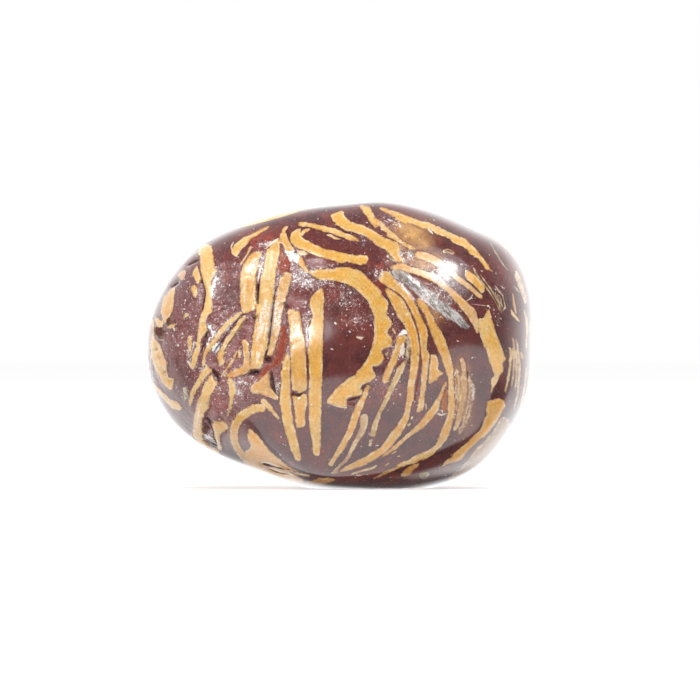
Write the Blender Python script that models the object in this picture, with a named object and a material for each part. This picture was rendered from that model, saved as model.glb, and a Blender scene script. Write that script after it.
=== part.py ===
"""A small tumbled jasper pebble, whole and in one piece, lying on its flat spot.

The stone is a smooth intersection of worn surfaces, all measured from its centre:
a rolled ellipsoid that domes the front and the back, two side walls that lean in
from the girth, and a few broad worn faces. +X is the length, -Y faces the viewer,
+Z is up. The origin is under the middle of the stone, on the surface it rests on.
"""

import math

import bmesh
import bpy
from mathutils import Vector

MM = 0.001

# Driving dimensions
LENGTH = 15.0 * MM
DEPTH = 11.6 * MM
HEIGHT = 11.1 * MM
REST_SPOT_CUT = 0.16 * MM  # how much is worn off the bottom to make the flat spot

# The girth seen from the front, anticlockwise from +X:
# clock angle in degrees, reach from the centre in mm, then how far the side walls
# lean in towards the front and towards the back, in degrees.
GIRTH = (
    (0, 7.46, 11.5, 15),
    (18, 7.68, 11.0, 17),
    (30, 7.56, 10.5, 18),
    (42, 6.84, 9.0, 17),
    (56, 6.28, 7.0, 15),
    (73, 5.77, 4.0, 13),
    (90, 5.40, 3.5, 12),
    (108, 5.50, 4.5, 13),
    (128, 5.98, 7.0, 16),
    (145, 6.66, 8.0, 18),
    (160, 7.14, 12.0, 18),
    (174, 7.48, 16.0, 17),
    (190, 7.50, 18.0, 16),
    (205, 7.16, 20.0, 16),
    (218, 6.56, 20.0, 17),
    (236, 5.86, 14.0, 17),
    (256, 5.66, 8.0, 15),
    (278, 5.66, 5.0, 14),
    (300, 6.46, 9.0, 14),
    (316, 7.10, 11.5, 15),
    (334, 7.38, 12.0, 16),
    (346, 7.54, 12.0, 15),
)

# The ellipsoid that domes both broad sides
DOME_HALF_LENGTH = 9.8 * MM
DOME_HALF_HEIGHT = 7.5 * MM
DOME_BULGE = 5.8 * MM
DOME_ROLL = 12.0  # degrees its long axis rises towards +X

# Broad worn faces: azimuth from straight ahead towards +X, elevation, reach in mm
WORN_FACES = (
    (26, -24, 6.95),
    (-34, 12, 6.85),
    (150, 28, 6.75),
    (205, 18, 6.55),
    (178, -30, 6.35),
    (128, -14, 7.55),
)

SHARPNESS = 15.0  # higher values give tighter ridges where the worn surfaces meet

GRID_CELLS = 24  # cells along each edge of the cube that the pebble is blown up from
RIM_SNAP = 0.001 * MM  # corners nearer the ground than this become part of the rim
FLAT_RIM_ANGLE = 20.0  # degrees; sharper edges are shaded as edges

STONE_COLOUR = (0.20, 0.075, 0.080, 1.0)
STONE_ROUGHNESS = 0.22


def clear_scene():
    for old in list(bpy.data.objects):
        bpy.data.objects.remove(old, do_unlink=True)


def girth_at(clock):
    """Reach in metres and the two leans in radians, on a smooth closed curve."""
    knots = GIRTH
    count = len(knots)
    after = next((i for i, knot in enumerate(knots) if knot[0] > clock), count)
    columns = []
    for column in (1, 2, 3):
        angles = []
        values = []
        for step in (-2, -1, 0, 1):
            turns, index = divmod(after + step, count)
            angles.append(knots[index][0] + 360 * turns)
            values.append(knots[index][column])
        span = angles[2] - angles[1]
        start_slope = (values[2] - values[0]) / (angles[2] - angles[0])
        end_slope = (values[3] - values[1]) / (angles[3] - angles[1])
        t = (clock - angles[1]) / span
        columns.append(
            (2 * t**3 - 3 * t**2 + 1) * values[1]
            + (t**3 - 2 * t**2 + t) * span * start_slope
            + (3 * t**2 - 2 * t**3) * values[2]
            + (t**3 - t**2) * span * end_slope
        )
    reach, front_lean, back_lean = columns
    return reach * MM, math.radians(front_lean), math.radians(back_lean)


def dome_gauge(direction):
    roll = math.radians(DOME_ROLL)
    along = direction.x * math.cos(roll) + direction.z * math.sin(roll)
    across = direction.z * math.cos(roll) - direction.x * math.sin(roll)
    return math.sqrt(
        (along / DOME_HALF_LENGTH) ** 2
        + (across / DOME_HALF_HEIGHT) ** 2
        + (direction.y / DOME_BULGE) ** 2
    )


def wall_gauges(direction):
    outward = math.hypot(direction.x, direction.z)
    clock = math.degrees(math.atan2(direction.z, direction.x)) % 360
    reach, front_lean, back_lean = girth_at(clock)
    front = (outward - direction.y * math.tan(front_lean)) / reach
    back = (outward + direction.y * math.tan(back_lean)) / reach
    return max(front, 0.0), max(back, 0.0)


def face_gauge(direction, azimuth, elevation, reach):
    level = math.cos(math.radians(elevation))
    normal = Vector((
        level * math.sin(math.radians(azimuth)),
        -level * math.cos(math.radians(azimuth)),
        math.sin(math.radians(elevation)),
    ))
    return max(direction.dot(normal), 0.0) / (reach * MM)


def skin_point(direction):
    """The point of the stone's skin that lies in a unit direction from its centre."""
    gauges = [dome_gauge(direction), *wall_gauges(direction)]
    gauges += [face_gauge(direction, *face) for face in WORN_FACES]
    gauge = sum(value**SHARPNESS for value in gauges) ** (1 / SHARPNESS)
    return direction / gauge


def blow_up_cube(mesh):
    """A cube of even square cells, each corner moved out to the stone's skin."""
    bmesh.ops.create_cube(mesh, size=2.0)
    bmesh.ops.subdivide_edges(
        mesh, edges=mesh.edges[:], cuts=GRID_CELLS - 1, use_grid_fill=True
    )
    for vertex in mesh.verts:
        spread = Vector([math.tan(value * math.pi / 4) for value in vertex.co])
        vertex.co = skin_point(spread.normalized())


def fit_to_size(mesh):
    """Scales the skin to the driving dimensions and stands it on the ground."""
    low = Vector([min(vertex.co[axis] for vertex in mesh.verts) for axis in range(3)])
    high = Vector([max(vertex.co[axis] for vertex in mesh.verts) for axis in range(3)])
    middle = (low + high) / 2
    size = high - low
    wanted = Vector((LENGTH, DEPTH, HEIGHT + REST_SPOT_CUT))
    for vertex in mesh.verts:
        vertex.co = Vector([
            (vertex.co[axis] - middle[axis]) * wanted[axis] / size[axis]
            for axis in range(3)
        ])
        vertex.co.z += wanted.z / 2 - REST_SPOT_CUT


def wear_rest_spot(mesh):
    """Cuts the bottom off at the ground and closes it with one flat face."""
    cut = bmesh.ops.bisect_plane(
        mesh,
        geom=mesh.verts[:] + mesh.edges[:] + mesh.faces[:],
        dist=RIM_SNAP,
        plane_co=(0, 0, 0),
        plane_no=(0, 0, 1),
        clear_inner=True,
    )
    rim = [item for item in cut["geom_cut"] if isinstance(item, bmesh.types.BMEdge)]
    for edge in rim:
        for corner in edge.verts:
            corner.co.z = 0.0
    bmesh.ops.edgeloop_fill(mesh, edges=rim)
    bmesh.ops.recalc_face_normals(mesh, faces=mesh.faces[:])


def jasper_material():
    material = bpy.data.materials.new("jasper")
    material.use_nodes = True
    shader = material.node_tree.nodes["Principled BSDF"]
    shader.inputs["Base Color"].default_value = STONE_COLOUR
    shader.inputs["Roughness"].default_value = STONE_ROUGHNESS
    material.diffuse_color = STONE_COLOUR
    return material


def make_stone():
    mesh = bmesh.new()
    blow_up_cube(mesh)
    fit_to_size(mesh)
    wear_rest_spot(mesh)
    data = bpy.data.meshes.new("stone")
    mesh.to_mesh(data)
    mesh.free()
    data.shade_smooth()
    data.set_sharp_from_angle(angle=math.radians(FLAT_RIM_ANGLE))
    data.materials.append(jasper_material())
    stone = bpy.data.objects.new("stone", data)
    bpy.context.collection.objects.link(stone)
    return stone


clear_scene()
make_stone()
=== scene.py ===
# A small tumbled jasper pebble: plum-red stone full of curved golden fragments.
# Metres, +Z up. The front faces -Y and is laid out from places read off the 700-pixel photograph.

import math

import bpy
import numpy as np
from mathutils import Matrix, Vector, kdtree, noise


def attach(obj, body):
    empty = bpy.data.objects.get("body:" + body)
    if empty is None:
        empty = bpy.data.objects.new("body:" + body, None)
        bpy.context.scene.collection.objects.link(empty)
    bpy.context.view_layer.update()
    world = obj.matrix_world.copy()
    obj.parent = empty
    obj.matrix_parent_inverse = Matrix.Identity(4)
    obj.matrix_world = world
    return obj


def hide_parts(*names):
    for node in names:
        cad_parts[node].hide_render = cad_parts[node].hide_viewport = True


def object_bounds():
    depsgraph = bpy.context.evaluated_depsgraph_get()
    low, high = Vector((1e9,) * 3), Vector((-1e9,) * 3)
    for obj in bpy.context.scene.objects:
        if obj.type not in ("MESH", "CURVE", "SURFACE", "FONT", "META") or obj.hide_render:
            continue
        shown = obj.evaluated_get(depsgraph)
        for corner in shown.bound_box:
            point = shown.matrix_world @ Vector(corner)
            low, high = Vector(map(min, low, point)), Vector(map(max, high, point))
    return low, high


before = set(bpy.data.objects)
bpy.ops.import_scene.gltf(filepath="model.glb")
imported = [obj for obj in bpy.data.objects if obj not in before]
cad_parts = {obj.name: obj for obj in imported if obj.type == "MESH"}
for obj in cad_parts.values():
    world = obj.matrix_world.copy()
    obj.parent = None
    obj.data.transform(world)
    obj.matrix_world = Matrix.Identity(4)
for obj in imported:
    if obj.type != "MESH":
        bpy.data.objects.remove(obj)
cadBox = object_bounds()
mm = 0.001

# How a place in the photograph turns into a place on the stone
photo = {
    "width": 700,  # pixels
    "mmPerPixel": 0.03876,
    "middleColumn": 340.5,  # straight above the stone's origin
    "groundRow": 487.7,
    "cameraAway": 300.0,  # mm in front of the stone's middle
}


def cameraOffset():
    # mm that the camera stands to the right of and above the stone's origin
    across = (photo["width"] / 2 - photo["middleColumn"]) * photo["mmPerPixel"]
    up = (photo["groundRow"] - photo["width"] / 2) * photo["mmPerPixel"]
    return across, up


skin = {
    "cells": 128,  # along each edge of the cube that is blown up
    "middle": (0.0, -1.2, 5.6),  # mm; nearer the front, where the grid is finer
    "start": (9.6, 7.6, 7.4),  # half sizes in mm of the ball that shrinks onto the stone
    "smoothing": 3,
    "flatBelow": 0.004,  # mm; lower corners belong to the flat spot
    "mergeWithin": 0.002,  # mm
}


def deselectAll():
    if bpy.context.object and bpy.context.object.mode != "OBJECT":
        bpy.ops.object.mode_set(mode="OBJECT")
    bpy.ops.object.select_all(action="DESELECT")


def pick(piece):
    deselectAll()
    piece.select_set(True)
    bpy.context.view_layer.objects.active = piece


def applyAll(piece):
    pick(piece)
    for modifier in list(piece.modifiers):
        bpy.ops.object.modifier_apply(modifier=modifier.name)


def readPlaces(mesh):
    places = np.empty(len(mesh.vertices) * 3, np.float32)
    mesh.vertices.foreach_get("co", places)
    return places.reshape(-1, 3).astype(float)


def writePlaces(mesh, places):
    mesh.vertices.foreach_set("co", places.astype(np.float32).ravel())
    mesh.update()


def readNormals(mesh):
    normals = np.empty(len(mesh.vertices) * 3, np.float32)
    mesh.vertex_normals.foreach_get("vector", normals)
    return normals.reshape(-1, 3).astype(float)


def smoothForm():
    # the CAD stone with its facets merged and rounded, used only to shrink the skin onto
    deselectAll()
    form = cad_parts["stone"].copy()
    form.data = form.data.copy()
    form.name = "form"
    bpy.context.scene.collection.objects.link(form)
    form.parent = None
    pick(form)
    bpy.ops.object.mode_set(mode="EDIT")
    bpy.ops.mesh.select_all(action="SELECT")
    bpy.ops.mesh.remove_doubles(threshold=skin["mergeWithin"] * mm)
    bpy.ops.mesh.tris_convert_to_quads()
    bpy.ops.mesh.select_all(action="DESELECT")
    bpy.ops.object.mode_set(mode="OBJECT")
    for edge in form.data.edges:
        ends = [form.data.vertices[index].co.z for index in edge.vertices]
        edge.select = max(ends) < skin["mergeWithin"] * mm
    bpy.ops.object.mode_set(mode="EDIT")
    bpy.ops.transform.edge_crease(value=1.0)  # keeps the flat spot flat
    bpy.ops.object.mode_set(mode="OBJECT")
    rounding = form.modifiers.new("rounding", "SUBSURF")
    rounding.levels = rounding.render_levels = skin["smoothing"]
    applyAll(form)
    return form


def blownUpCube():
    # a cube cut into even cells, spread over a ball that is wider than the stone
    deselectAll()
    bpy.ops.mesh.primitive_cube_add(size=2.0, location=(0, 0, 0))
    piece = bpy.context.object
    piece.name = "jasper_stone"
    bpy.ops.object.mode_set(mode="EDIT")
    bpy.ops.mesh.select_all(action="SELECT")
    for cuts in (3, 3, skin["cells"] // 16 - 1):
        bpy.ops.mesh.subdivide(number_cuts=cuts)
    bpy.ops.object.mode_set(mode="OBJECT")
    places = np.tan(readPlaces(piece.data) * math.pi / 4)
    places /= np.linalg.norm(places, axis=1)[:, None]
    writePlaces(piece.data, (places * skin["start"] + skin["middle"]) * mm)
    return piece


def makeSkin():
    form = smoothForm()
    piece = blownUpCube()
    wrap = piece.modifiers.new("wrap", "SHRINKWRAP")
    wrap.target = form
    wrap.wrap_method = "PROJECT"
    wrap.use_negative_direction = True
    wrap.use_positive_direction = False
    applyAll(piece)
    bpy.data.objects.remove(form)
    places = readPlaces(piece.data)
    low, high = places.min(0), places.max(0)
    wantedLow, wantedHigh = np.array(cadBox[0]), np.array(cadBox[1])
    places = wantedLow + (places - low) * (wantedHigh - wantedLow) / (high - low)
    places[:, 2] = np.where(places[:, 2] < skin["flatBelow"] * mm, 0.0, places[:, 2])
    writePlaces(piece.data, places)
    piece.data.shade_smooth()
    return piece


matt = -1.0  # a mottling that stands for a rough fragment without shine
plain = 2.0  # and one that leaves the tone as it is


def shard(tone, outline, fuzz=1.0, mottle=0.0):
    # a fragment whose edge runs through the points
    return {"tone": tone, "outline": outline, "fuzz": fuzz, "mottle": mottle}


def stroke(tone, path, widths):
    # a fragment along a middle line, with its widths from one end to the other
    return {"tone": tone, "path": path, "widths": widths, "fuzz": 1.0, "mottle": 0.0}


def cut(depth, path, widths, tone="dusk"):
    # a crack or a dark line, with how deep it goes in mm
    return {"depth": depth, "path": path, "widths": widths, "tone": tone, "flat": 0.0}


def film(tone, path, widths, depth=0.0):
    # a thin soft mark that lies over a fragment; the sheens made with it are painted highlight
    return {"depth": depth, "path": path, "widths": widths, "tone": tone, "flat": 1.0}


# The fragments on the front, in pixels of the photograph
crownFragments = {
    "crownLeft": shard("gold", [
        (236, 257), (232, 254), (231.5, 250), (234, 245), (239, 240.5), (245, 237), (251, 234.5),
        (257, 231), (263, 228), (269, 226), (268, 228), (262, 232), (256, 236), (250, 240), (246, 244.5),
        (241, 250), (238, 255)]),
    "crownSliver": stroke("cream", [(250.5, 247), (247, 254), (240.5, 264)], (2.6, 1.4)),
    "topLong": shard("gold", [
        (331, 215), (337, 212), (344, 210.9), (343.9, 213.8), (345.5, 217.3), (350, 220.8), (353.8, 222.8),
        (359.6, 223.8), (363.5, 225.6), (369.9, 228.8), (375, 231.4), (379.5, 234.6), (384, 237.2),
        (389.1, 239.4), (393.6, 240.7), (398.1, 243.6), (399.7, 246.2), (399, 250), (399.4, 253.8),
        (401.9, 257), (404.2, 261.5), (400.2, 262.2), (396.2, 261.2), (393, 258.3), (389.7, 254.5),
        (385.3, 250), (380.8, 247.4), (376.3, 244.9), (372.4, 241), (368.6, 238.5), (364.1, 235.3),
        (359.9, 234), (353.8, 232), (350, 231.4), (344.9, 230.1), (340.4, 227.2), (335.9, 223.7),
        (332.4, 219.9)]),
    "topFar": shard("gold", [
        (359.3, 206), (364, 205.5), (369.9, 207), (371.8, 210.9), (374, 215.1), (376, 218.6),
        (379.5, 220.2), (385.3, 225.6), (393, 232), (396.5, 234.9), (401.9, 240), (407.1, 243.6),
        (411.5, 245.5), (414.7, 247.4), (415.6, 249), (413.5, 249.7), (410.3, 249.7), (406.4, 247.4),
        (400.6, 243.6), (393, 239.1), (386.5, 235.6), (387.5, 233.3), (384.6, 231.4), (382.1, 229.5),
        (380.8, 226.9), (378.2, 225.6), (377.2, 227.6), (375.3, 228.2), (373.7, 226.9), (371.2, 223.7),
        (368.6, 220.5), (366, 216.3), (363.8, 212.8), (362.2, 210.3)]),
    "crownRight": shard("gold", [
        (380.1, 207), (385.9, 208.3), (392.3, 210.9), (398.7, 212.8), (405.1, 215.1), (410.3, 217),
        (417.9, 220.2), (424, 221.3), (429.1, 222.5), (436.2, 226.2), (443.8, 229.7), (450.9, 232.6),
        (458.6, 236.4), (465.6, 239), (470.1, 243.5), (475.3, 248.6), (479.7, 254.4), (484.2, 259.5),
        (487.4, 263.3), (489.4, 266.5), (490.3, 270.4), (486.2, 269.1), (483.6, 265.3), (480.4, 261.1),
        (475.9, 256.9), (470.1, 253.7), (467.6, 250.5), (464.4, 247.3), (458.6, 244.7), (452.8, 242.8),
        (449.6, 239.3), (445.1, 236.7), (440, 235.1), (435.5, 233.2), (430.4, 229.5), (424, 228.5),
        (419.9, 227.6), (415.4, 225.3), (409, 223.2), (404.5, 224), (400, 221.2), (396.2, 219.2),
        (394.9, 217), (389.7, 214.7), (382.7, 210.9), (379.5, 209)]),
    "crownRightTail": stroke("cream", [(490.6, 270.3), (493, 271.8)], (1.4, 1)),
    "topBand": shard("gold", [
        (298, 223), (303, 222), (310, 223), (317, 224), (325, 226), (330.1, 227.6), (335.3, 228.8),
        (340.1, 230.1), (343.6, 232.4), (348.7, 234.6), (353.2, 235.9), (357, 238.5), (359, 240.4),
        (358.3, 242), (355.1, 240.7), (350, 240), (346.8, 239.1), (343.6, 237.8), (340.1, 236.5),
        (335.3, 234.9), (331.1, 232.6), (325, 231.8), (322, 231), (315, 229), (308, 226.5), (300, 226)]),
    "topBandUnder": stroke("cream", [
        (327, 234.9), (331, 235.6), (335, 238), (341, 239.2)], (1.4, 2.4, 2.6, 1)),
    "topBandBit": shard("gold", [
        (310, 228.6), (305, 229.4), (301.8, 231.2), (301, 235), (303, 236.5), (305, 232.6), (309, 230.4)]),
    "topLoop": shard("gold", [
        (299, 229), (294, 231), (291, 234), (289.5, 239), (292, 244), (298, 248), (306, 251), (313, 254.5),
        (325, 258.4), (330.1, 259.3), (339.1, 262.5), (342.9, 263.1), (347.4, 262.2), (357, 264.4),
        (366, 263.8), (367.9, 257.7), (366, 255.8), (360.9, 255.1), (355.8, 255.4), (350.6, 254.8),
        (344.9, 253.2), (337.8, 251.9), (332, 250.3), (325, 248.8), (310, 242), (304, 239), (301, 235),
        (300.5, 230)]),
    "topFork": shard("amber", [
        (283, 228), (288, 226), (286, 232), (288, 238), (291, 244), (294, 250), (290, 254), (287, 253),
        (285, 249), (282, 244), (280, 238), (281, 233)]),
    "topForkFoot": shard("amber", [
        (297, 255), (302, 257), (304, 263), (308, 270), (309, 273), (304, 272), (300, 266), (296, 261)]),
    "topForkBit": shard("cream", [
        (297, 251), (301, 250.2), (304, 251), (308, 254), (303, 256), (298, 254)]),
    "notchBit": stroke("olive", [(389.5, 257.5), (392.5, 259.4), (395, 261)], (1.6, 2.6, 1.4)),
}

leftFragments = {
    "leftLong": shard("biscuit", [
        (198, 254), (200, 246), (206, 244), (211, 246), (213, 254), (214, 262), (216, 271), (213, 277),
        (211, 285), (211, 292), (212, 298), (212, 306), (212.5, 312), (210, 314), (207, 318), (206, 324),
        (207, 330), (204, 334), (201, 338), (200, 345), (199, 352), (197, 360), (195, 367), (191, 369),
        (190, 366), (191, 362), (192, 355), (195, 347), (196, 340), (198, 330), (199, 322), (201, 312),
        (203, 308), (204, 300), (203.5, 290), (202, 280), (200.5, 270), (200, 258)]),
    "leftRimUpper": shard("amber", [
        (175.5, 287), (174, 298), (173, 306), (171, 313), (168.5, 318), (166, 323), (163, 322), (162, 315),
        (160.5, 312), (162, 304), (165, 296), (170, 290)]),
    "leftRimLower": shard("gold", [
        (152, 318), (151.6, 332), (150, 345), (151, 357), (155, 368), (160, 379), (165, 386), (170, 390),
        (173, 387.6), (173.6, 382), (173.4, 378.6), (168.6, 377.4), (166.6, 373), (166.8, 367.6),
        (167.2, 362), (164.4, 359), (163.4, 355), (161.6, 349.6), (159.6, 345), (156.6, 340.6),
        (153.8, 337), (153.4, 330), (154, 322)]),
    "leftRimPatch": shard("gold", [
        (155, 318.5), (158, 318), (160.5, 320), (163.6, 322), (163, 326), (159.6, 328),
        (156, 326.5)], fuzz=2.4),
    "rimShadow": shard("umber", [
        (154.6, 327.4), (158, 326.4), (162, 327.4), (164, 331), (163, 336), (160, 339.8), (157.2, 338),
        (155.4, 335), (154.2, 331)], fuzz=3, mottle=matt),
    "rimShadowHigh": shard("umber", [
        (166.6, 319.6), (171, 318), (174, 320), (172, 323), (168, 325), (165.4, 324)], fuzz=3, mottle=matt),
    "leftToe": shard("gold", [
        (153, 383), (158, 387), (163, 392), (168, 397), (172, 400), (177, 402), (181, 406), (182, 409),
        (179, 410), (173, 409), (168, 404), (163, 399), (158, 393), (154, 387)]),
    "rimPeach": shard("peach", [(179, 272), (184, 270), (186, 273), (184, 279), (181, 280), (178, 276)]),
    "leftBitA": shard("amber", [
        (188, 336), (191, 337), (192, 345), (190.5, 352), (188.5, 356), (187.5, 350)]),
    "leftBitB": shard("amber", [(176, 323.5), (170, 325), (167, 328), (172, 327.5)]),
    "leftBitC": shard("gold", [(185, 312), (187.5, 315.5), (184, 318), (182, 321)]),
    "leftBitD": shard("gold", [
        (196.5, 266), (193, 272), (192.5, 276), (195, 280), (197, 284), (199, 283), (200, 275),
        (198, 268)]),
    "leftBitE": shard("gold", [(190.5, 289), (193, 285), (196, 286), (197, 292), (195, 298), (193, 295)]),
    "slantLong": stroke("gold", [
        (240.5, 313), (235, 317.6), (228, 323.6), (221.6, 331), (215, 340), (209.6, 347), (205, 354),
        (203.4, 365)], (2.8, 5, 4.6, 5.4, 5, 5.6, 5, 2)),
    "slantShort": stroke("gold", [
        (244.5, 316.5), (240, 322), (236, 329), (230, 337), (226, 343), (222, 351), (220.5, 357),
        (220.6, 363), (218.6, 366.6)], (2.4, 5.2, 5, 5.8, 4.6, 5.8, 7.2, 5, 1.4)),
    "slantSliver": stroke("amber", [
        (236.5, 352), (231, 362), (225, 371), (220.5, 377)], (1.6, 2.8, 2.6, 1.2)),
    "slantBit": shard("amber", [(238.5, 348), (241, 352), (240, 358), (237.5, 356)]),
    "wedge": shard("orange", [
        (224, 377), (230, 372), (237, 369), (243, 364), (243, 352), (242, 341), (246, 340), (249, 343),
        (249, 352), (250, 360), (250, 367), (248, 372), (242, 375), (235, 377)]),
    "prong": shard("gold", [
        (207, 366), (210, 370), (208, 375), (203, 381), (199, 388), (195, 394), (193, 400), (191, 406),
        (189.5, 407), (189, 400), (190, 393), (192, 388), (196, 382), (201, 373), (205, 367)]),
    "leg": shard("biscuit", [
        (211, 374), (214, 379), (216, 384), (214, 390), (211, 396), (208, 402), (208, 408), (205, 413),
        (204, 418), (202, 422), (202, 428), (203, 433), (203, 438), (205, 443), (210, 447), (216, 449),
        (222, 455), (212, 452), (203, 447), (197, 442), (192.5, 436), (193, 430), (193.5, 420), (195, 412),
        (197, 403), (200, 395), (203, 387), (207, 380)]),
    "fork": shard("gold", [
        (210, 422), (215, 421), (221, 422), (226, 425), (227.6, 429), (225, 432), (221, 434), (220, 439),
        (221, 445), (222.6, 450), (219, 450), (216, 444), (213.6, 438), (213, 431), (211, 425)]),
    "teardrop": shard("gold", [
        (228, 377), (232, 380), (234.6, 385), (235.8, 391), (233.8, 395), (233.4, 401), (231.8, 408),
        (229.6, 414), (227, 418), (225.6, 415.6), (228, 408), (229, 401), (229, 394), (227.6, 386)]),
    "hook": stroke("gold", [
        (262, 408), (254, 409), (246, 413), (239, 419), (235, 426), (234, 434), (235, 442), (238, 449),
        (243, 456), (250, 463)], (8, 8.6, 9, 9, 8.8, 8.4, 7.6, 7, 6.6, 6)),
    "dash": stroke("gold", [(263, 401.5), (270, 408), (278.5, 418.5)], (5.4, 5, 1.8)),
    "peachPatch": shard("apricot", [
        (251, 386), (255, 383), (259, 381), (262, 377), (265, 374), (268, 370), (270, 373), (270, 386),
        (274, 391), (277, 395), (278, 399), (276, 400), (271, 398), (258, 394), (253, 394), (251, 390)]),
}

uprightFragments = {
    "shortUpright": shard("amber", [
        (252, 253), (256, 251.5), (262, 252), (261, 257), (259, 262), (258, 268), (256, 274), (255.5, 282),
        (255, 300), (255, 306), (253, 311), (249, 313), (243.5, 313.5), (241.5, 308), (240, 300),
        (240, 278), (242, 269), (245, 262), (249, 256)]),
    "tallUpright": shard("gold", [
        (279, 241), (275, 242), (267, 249), (266, 255), (264, 262), (263, 270), (260, 280), (258.5, 290),
        (256, 300), (256, 310), (254, 330), (252, 340), (251, 350), (251, 358), (250, 366), (251, 369),
        (256, 368.5), (260, 369), (262, 364), (263, 358), (267, 345), (269, 328), (271, 318), (276, 274),
        (279, 254), (279.5, 245)]),
    "peachUpright": shard("apricot", [
        (284, 273), (288, 271.5), (291, 274), (291, 280), (289, 287), (286, 300), (282, 312), (280, 330),
        (274, 350), (273, 354), (269, 356), (266, 353), (268, 348), (269, 340), (271, 330), (273, 312),
        (275, 305), (277, 290), (281, 277)]),
    "middleUpright": shard("amber", [
        (287, 309), (290, 309.5), (296, 310.5), (299.5, 311), (300, 315), (301, 322), (305, 340),
        (305.5, 350), (307, 375), (307, 385), (305, 391), (300, 394), (297, 391), (292.5, 391), (292, 385),
        (291, 375), (290.5, 355), (289, 325), (288, 317)]),
    "middleFoot": shard("amber", [
        (292, 396), (298, 396.5), (304, 393), (307, 396), (307, 403), (305, 415), (305, 425), (299, 428),
        (296, 427), (295.5, 420), (294, 402)]),
    "rightUpright": shard("gold", [
        (322, 288), (323, 291), (324, 300), (323, 335), (322.5, 370), (321, 415), (321, 430), (320.5, 440),
        (320, 453), (318, 456), (313.5, 454), (313, 450), (312, 440), (309, 425), (309, 410), (308.5, 395),
        (309, 385), (308.5, 360), (307, 352), (309, 340), (308, 330), (312.5, 318), (312, 312), (310, 308),
        (310, 301), (312, 296), (317, 291)]),
    "leaningUpright": shard("gold", [
        (288, 352), (290, 360), (290, 380), (290.5, 395), (291, 405), (292, 415), (294, 425), (296, 433),
        (298, 440), (300, 450), (301, 460), (296, 460), (292, 452.5), (289, 444), (287, 438), (285, 431),
        (283, 424), (282, 416), (281, 408), (280, 400), (280, 390), (281, 380), (281, 370), (283, 362),
        (284, 357), (286, 353)]),
}

arcFragments = {
    "bigArc": shard("gold", [
        (309, 272), (315, 270), (320, 268.5), (325, 269.9), (328.8, 267.9), (333.3, 269.2), (336.5, 267.9),
        (340.4, 267), (350.6, 267.9), (353.8, 269.6), (359, 270.5), (362.8, 273.1), (369.2, 279.5),
        (372.4, 282.1), (379.5, 289.6), (382.1, 294.7), (388.1, 303.1), (387.2, 310.8), (387.2, 314.6),
        (391.7, 321), (392, 324.9), (390.4, 328.1), (388.5, 330), (388.1, 333.2), (392, 339.6),
        (392, 342.8), (390.4, 346), (386.5, 348.6), (382.7, 349.9), (381.7, 352.4), (383.7, 355.6),
        (383.7, 359.5), (381.4, 363.3), (377.6, 365.9), (373.7, 366.6), (372.4, 369), (375.3, 375.4),
        (373.7, 379.2), (371.2, 381.2), (367.3, 382.4), (361.5, 386.3), (360.9, 388.8), (362.5, 392.1),
        (359.6, 395.9), (350.6, 397.2), (347.4, 398.5), (346.8, 401), (346.8, 406.8), (340.4, 407.8),
        (333.3, 405.2), (330.8, 404.2), (328.2, 404.6), (326.6, 402.3), (328.8, 398.5), (331.4, 394.6),
        (337.8, 387.6), (346.2, 379.9), (354.5, 374.7), (357, 371.5), (360.9, 367.7), (367.3, 358.2),
        (373.4, 342.8), (374.4, 331.3), (374, 318.5), (372.4, 313.3), (371.2, 308.2), (366.7, 299.2),
        (354.5, 288.3), (344.2, 283.2), (331.4, 280.4), (320, 280.2), (314, 276.7)]),
}

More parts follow.
